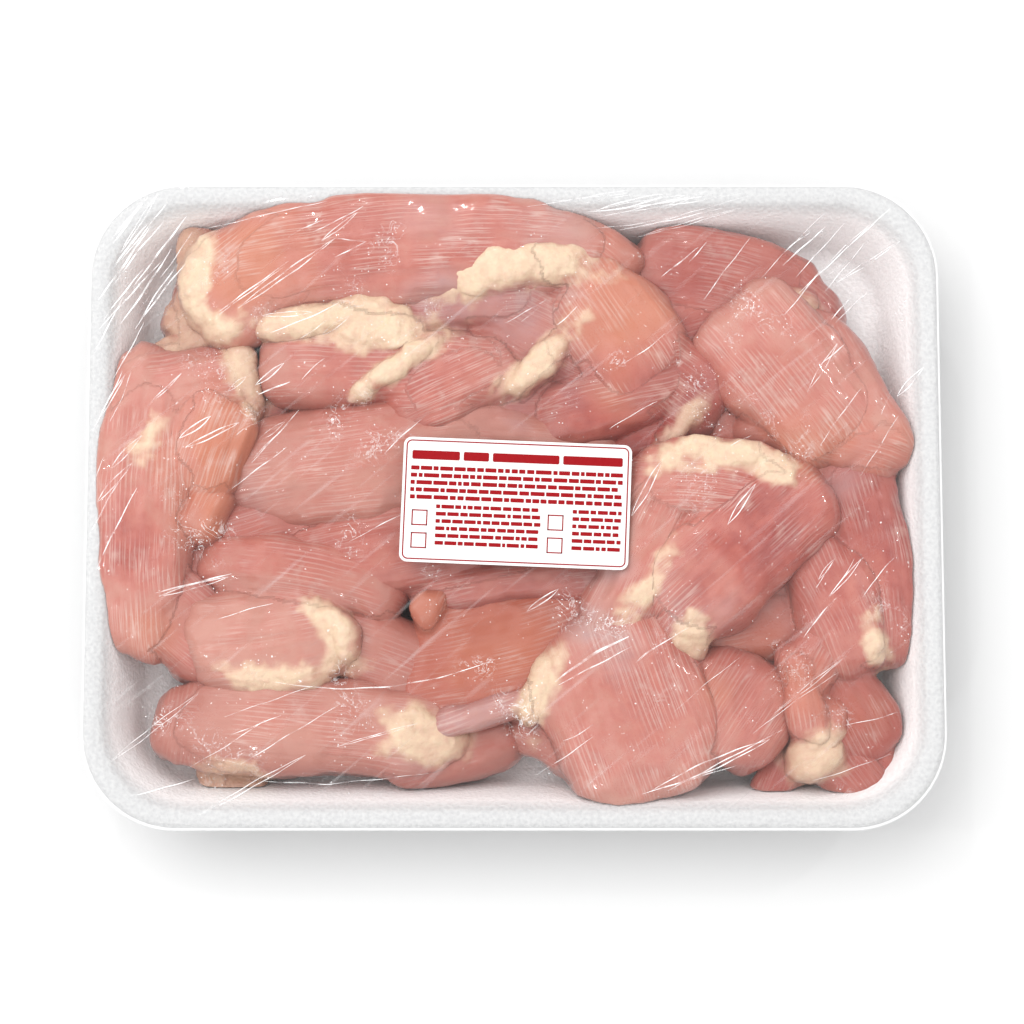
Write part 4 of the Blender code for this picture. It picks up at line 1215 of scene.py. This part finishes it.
creases += (
    [Crease(np.array(bowed(-75, -57, -6, -50, -5)), 0.4, 0.2)] + needle(-113, -29, -89, -23, 0.6)
    + lens(-112, -30, -90, -24, 0.7, 0.35) + needle(-78, -88, -57, -89, 0.4)
    + lens(4, -35, 14, -28, 0.8, 0.4) + needle(13, -57, 36, -43, 0.9, 1.0)
    + needle(14, -58, 37, -46, 0.4) + lens(43, -91, 80, -75, 1.5, 0.4)
    + needle(48, -91, 84, -72, 0.35) + needle(40, -92, 70, -83, 0.3) + lens(37, -5, 47, 13, 1.0, 0.35)
    + lens(67, -8, 76, 5, 0.8, 0.35) + needle(86, 76, 100, 89, 0.5) + needle(43, 96, 65, 100, 0.35)
    + needle(90, 72, 106, 90, 0.3) + needle(-100, 88, -60, 97, 0.3) + needle(-52, -13, -20, 4, 0.3)
)
creases += scatter(13, (-129, -112), (66, 94), 53, 3, (12, 30), (0.3, 0.9), 0.1)
creases += scatter(8, (-133, -122), (-10, 60), 60, 6, (12, 30), (0.2, 0.45))
creases += scatter(8, (-110, -40), (50, 96), 36, 10, (8, 26))
creases += scatter(6, (-120, -60), (0, 50), 36, 10, (6, 16))
creases += scatter(12, (20, 60), (90, 99), 14, 4, (20, 44), (0.12, 0.25))
creases += scatter(9, (66, 128), (60, 98), 48, 5, (12, 36), (0.15, 0.35))
creases += scatter(10, (92, 128), (-50, 50), 60, 8, (8, 24))
creases += scatter(8, (-60, 80), (0, 70), 32, 10, (6, 18))
creases += scatter(10, (-125, -40), (-94, -30), 22, 8, (14, 44), (0.15, 0.35))
creases += scatter(10, (10, 120), (-94, -30), 34, 10, (10, 34), (0.15, 0.35))
crease_piece = crease_mesh(creases)
print(len(creases), "creases,", len(crease_piece.data.polygons), "faces")

# %% Clear film and crease film
def clear_film():
    """Mostly see-through, with a sharp gloss. Curls, flecks at trapped juice and haze streaks are painted
    glints, mixed in as white.
    """
    made, tree, place = new_material("clear_film")
    crowd = add(tree, "Attribute", {"attribute_name": "crowd"}).outputs["Fac"]
    past_rim = add(tree, "Attribute", {"attribute_name": "past_rim"}).outputs["Fac"]
    wander = add(
        tree, "TexNoise", Vector=place, Scale=1 / (6 * MM), Detail=3.0, Roughness=0.65, Distortion=1.4
    )
    crest = maths(tree, "ABSOLUTE", less(tree, wander.outputs["Fac"], 0.5))
    curl_glint = less(tree, 1.0, times(tree, crest, 44.0), clamp=True)
    curl_glint = times(tree, curl_glint, step_up(tree, crowd, 0.66, 1.1))
    bubbles = add(tree, "TexVoronoi", Vector=place, Scale=1 / (1.1 * MM))
    fleck_glint = less(tree, 1.0, step_up(tree, bubbles.outputs["Distance"], 0.10, 0.24))
    chosen = add(tree, "SeparateColor", Color=bubbles.outputs["Color"]).outputs[0]
    fleck_glint = times(tree, fleck_glint, step_up(tree, maths(tree, "ADD", crowd, chosen), 1.50, 1.62))
    slant = add(
        tree, "Mapping", {"vector_type": "TEXTURE"}, Vector=place,
        Rotation=(0, 0, math.radians(40)), Scale=(0.030, 0.0020, 0.030),
    )
    drawn = add(tree, "TexNoise", Vector=slant.outputs[0], Scale=1.0, Detail=1.0)
    haze = times(tree, step_up(tree, drawn.outputs["Fac"], 0.60, 0.85), past_rim)
    # Painted glints: the curls, flecks and haze streaks are mixed into the film as white.
    painted_glint_amount = highest(tree, times(tree, curl_glint, 0.75), times(tree, fleck_glint, 0.85))
    painted_glint_amount = highest(tree, painted_glint_amount, times(tree, haze, 0.12))
    clear = add(tree, "BsdfTransparent", Color=(0.99, 0.99, 0.99, 1))
    gloss = add(tree, "BsdfGlossy", Color=(1, 1, 1, 1), Roughness=0.06)
    white = add(tree, "BsdfDiffuse", Color=(0.82, 0.82, 0.82, 1))
    bare = mixed(tree, add(tree, "Fresnel", IOR=1.42).outputs[0], clear, gloss)
    show(tree, mixed(tree, painted_glint_amount, bare, white))
    return made


def crease_film():
    """Folded film: half of it still lets the meat show, the rest is white, both the fold's own whitening and
    a painted sheen.
    """
    made, tree, place = new_material("crease_film")
    patchy = add(tree, "TexNoise", Vector=place, Scale=1 / (5 * MM), Detail=2.0)
    amount = add(
        tree, "MapRange", Value=patchy.outputs["Fac"], From_Min=0.35, From_Max=0.62, To_Min=0.1, To_Max=0.95
    ).outputs[0]
    clear = add(tree, "BsdfTransparent", Color=(1, 1, 1, 1))
    # White fold: partly whitened film, partly a painted glint.
    white = add(tree, "BsdfPrincipled", Base_Color=(0.9, 0.9, 0.9, 1), Roughness=0.25)
    show(tree, mixed(tree, amount, clear, white))
    return made


film_material = clear_film()
film.data.materials.append(film_material)
film_sides.data.materials.append(film_material)
crease_piece.data.materials.append(crease_film())
for piece in (film, film_sides, crease_piece):
    piece.visible_shadow = False
    piece.visible_diffuse = False
    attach(piece, "root")
    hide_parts("film")
print("film materials made")

# %% [markdown]
# ## Label
#
# A small white paper slip with round corners lies on the film a little askew. Its printing is plain:
# a dark red rule round the edge, solid bars along the top and rows of short bars in place of words.
# They are thin raised shapes, because a printed rule has a crisp edge at any distance.

# %% Paper and print
LABEL_THICKNESS = 0.16 * MM
LABEL_CORNER = 2.5 * MM
PRINT_THICKNESS = 0.03 * MM
label_top = label_low[2] + LABEL_THICKNESS


def slip(shape, length, width, corner, low, high, centre=(0.0, 0.0), steps=6):
    """Adds a flat slip with round corners to a bmesh."""
    ring = np.concatenate(corner_arcs(length / 2, width / 2, corner, steps)) + centre
    upper = [shape.verts.new((x, y, high)) for x, y in ring]
    lower = [shape.verts.new((x, y, low)) for x, y in ring]
    shape.faces.new(upper)
    shape.faces.new(lower[::-1])
    for k in range(len(ring)):
        shape.faces.new((lower[k - 1], lower[k], upper[k], upper[k - 1]))


def finish_slip(name, shape):
    bmesh.ops.recalc_face_normals(shape, faces=shape.faces)
    mesh = bpy.data.meshes.new(name)
    shape.to_mesh(mesh)
    shape.free()
    made = bpy.data.objects.new(name, mesh)
    bpy.context.scene.collection.objects.link(made)
    made.data.transform(
        Matrix.Translation((label_centre[0], label_centre[1], 0)) @ Matrix.Rotation(LABEL_HEADING, 4, "Z")
    )
    return made


paper_shape = bmesh.new()
slip(paper_shape, LABEL_LENGTH, LABEL_WIDTH, LABEL_CORNER, label_low[2], label_top)
paper = finish_slip("label_paper", paper_shape)
print("label at", np.round(label_centre / MM, 1), "mm")


# %% Rules and bars
def print_rule(shape, inset, width, corner, steps=6):
    """A closed printed rule that follows the label's edge."""
    high = label_top + PRINT_THICKNESS
    rings = []
    for step_in, z in ((0.0, label_top), (0.0, high), (width, high), (width, label_top)):
        half_length, half_width = (side / 2 - inset - step_in for side in (LABEL_LENGTH, LABEL_WIDTH))
        ring = np.concatenate(corner_arcs(half_length, half_width, corner - step_in, steps))
        rings.append([shape.verts.new((x, y, z)) for x, y in ring])
    for ring, after in zip(rings, rings[1:] + rings[:1]):
        for k in range(len(ring)):
            shape.faces.new((ring[k - 1], ring[k], after[k], after[k - 1]))


def print_bar(shape, left, right, low, high):
    """A printed bar between two distances along the label and two up it, from its lower left corner."""
    length, width = (right - left) * MM, (high - low) * MM
    centre = ((left + right) / 2 * MM - LABEL_LENGTH / 2, (low + high) / 2 * MM - LABEL_WIDTH / 2)
    slip(shape, length, width, 0.12 * min(length, width), label_top, label_top + PRINT_THICKNESS, centre, 1)


def word_row(shape, left, right, low, high, shortest, longest):
    """A row of bars of random length with small gaps, where a line of small words would be."""
    x = left
    while x < right - shortest:
        length = min(rng.uniform(shortest, longest), right - x)
        print_bar(shape, x, x + length, low, high)
        x += length + rng.uniform(0.35, 0.55)


ink_shape = bmesh.new()
full_length, full_width = LABEL_LENGTH / MM, LABEL_WIDTH / MM
print_rule(ink_shape, 0.85 * MM, 0.4 * MM, 1.8 * MM)
x = 2.8
for word in (15.0, 8.0, 21.0, 18.8):
    print_bar(ink_shape, x, x + word, full_width - 7.0, full_width - 4.2)
    x += word + 1.2
for row in range(5):
    low = full_width - 10.4 - 2.3 * row
    word_row(ink_shape, 2.6, full_length - 2.6, low, low + 1.3, 1.2, 5.0)
for row in range(6):
    low = full_width - 22.4 - 2.3 * row
    word_row(ink_shape, 11.0, 44.0, low, low + 1.2, 1.0, 4.0)
    word_row(ink_shape, 54.0, full_length - 2.6, low, low + 1.2, 1.0, 4.0)
for left, low in ((3.4, 11.6), (3.4, 4.4), (46.2, 11.6), (46.2, 4.4)):
    for offset in (0.0, 4.6):
        print_bar(ink_shape, left, left + 5.0, low + offset, low + offset + 0.4)
        print_bar(ink_shape, left + offset, left + offset + 0.4, low, low + 5.0)
ink = finish_slip("label_print", ink_shape)


def label_paper_material():
    made, tree, place = new_material("label_paper")
    pulp = add(tree, "TexNoise", Vector=place, Scale=1 / (0.7 * MM), Detail=4.0)
    colour = blend_colours(tree, pulp.outputs["Fac"], (0.70, 0.685, 0.68, 1), (0.74, 0.73, 0.725, 1))
    bump = add(tree, "Bump", Height=pulp.outputs["Fac"], Strength=0.15, Distance=0.05 * MM)
    shader = add(tree, "BsdfPrincipled", Base_Color=colour, Roughness=0.42, Normal=bump.outputs[0])
    show(tree, shader)
    return made


def red_ink():
    made, tree, place = new_material("red_ink")
    wear = add(tree, "TexNoise", Vector=place, Scale=1 / (0.5 * MM), Detail=3.0)
    colour = blend_colours(tree, wear.outputs["Fac"], (0.24, 0.004, 0.007, 1), (0.31, 0.010, 0.014, 1))
    shader = add(tree, "BsdfPrincipled", Base_Color=colour, Roughness=0.7, Specular_IOR_Level=0.1)
    show(tree, shader)
    return made


paper.data.materials.append(label_paper_material())
ink.data.materials.append(red_ink())
for piece in (paper, ink):
    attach(piece, "root")
    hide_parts("label")
print("print faces", len(ink.data.polygons))
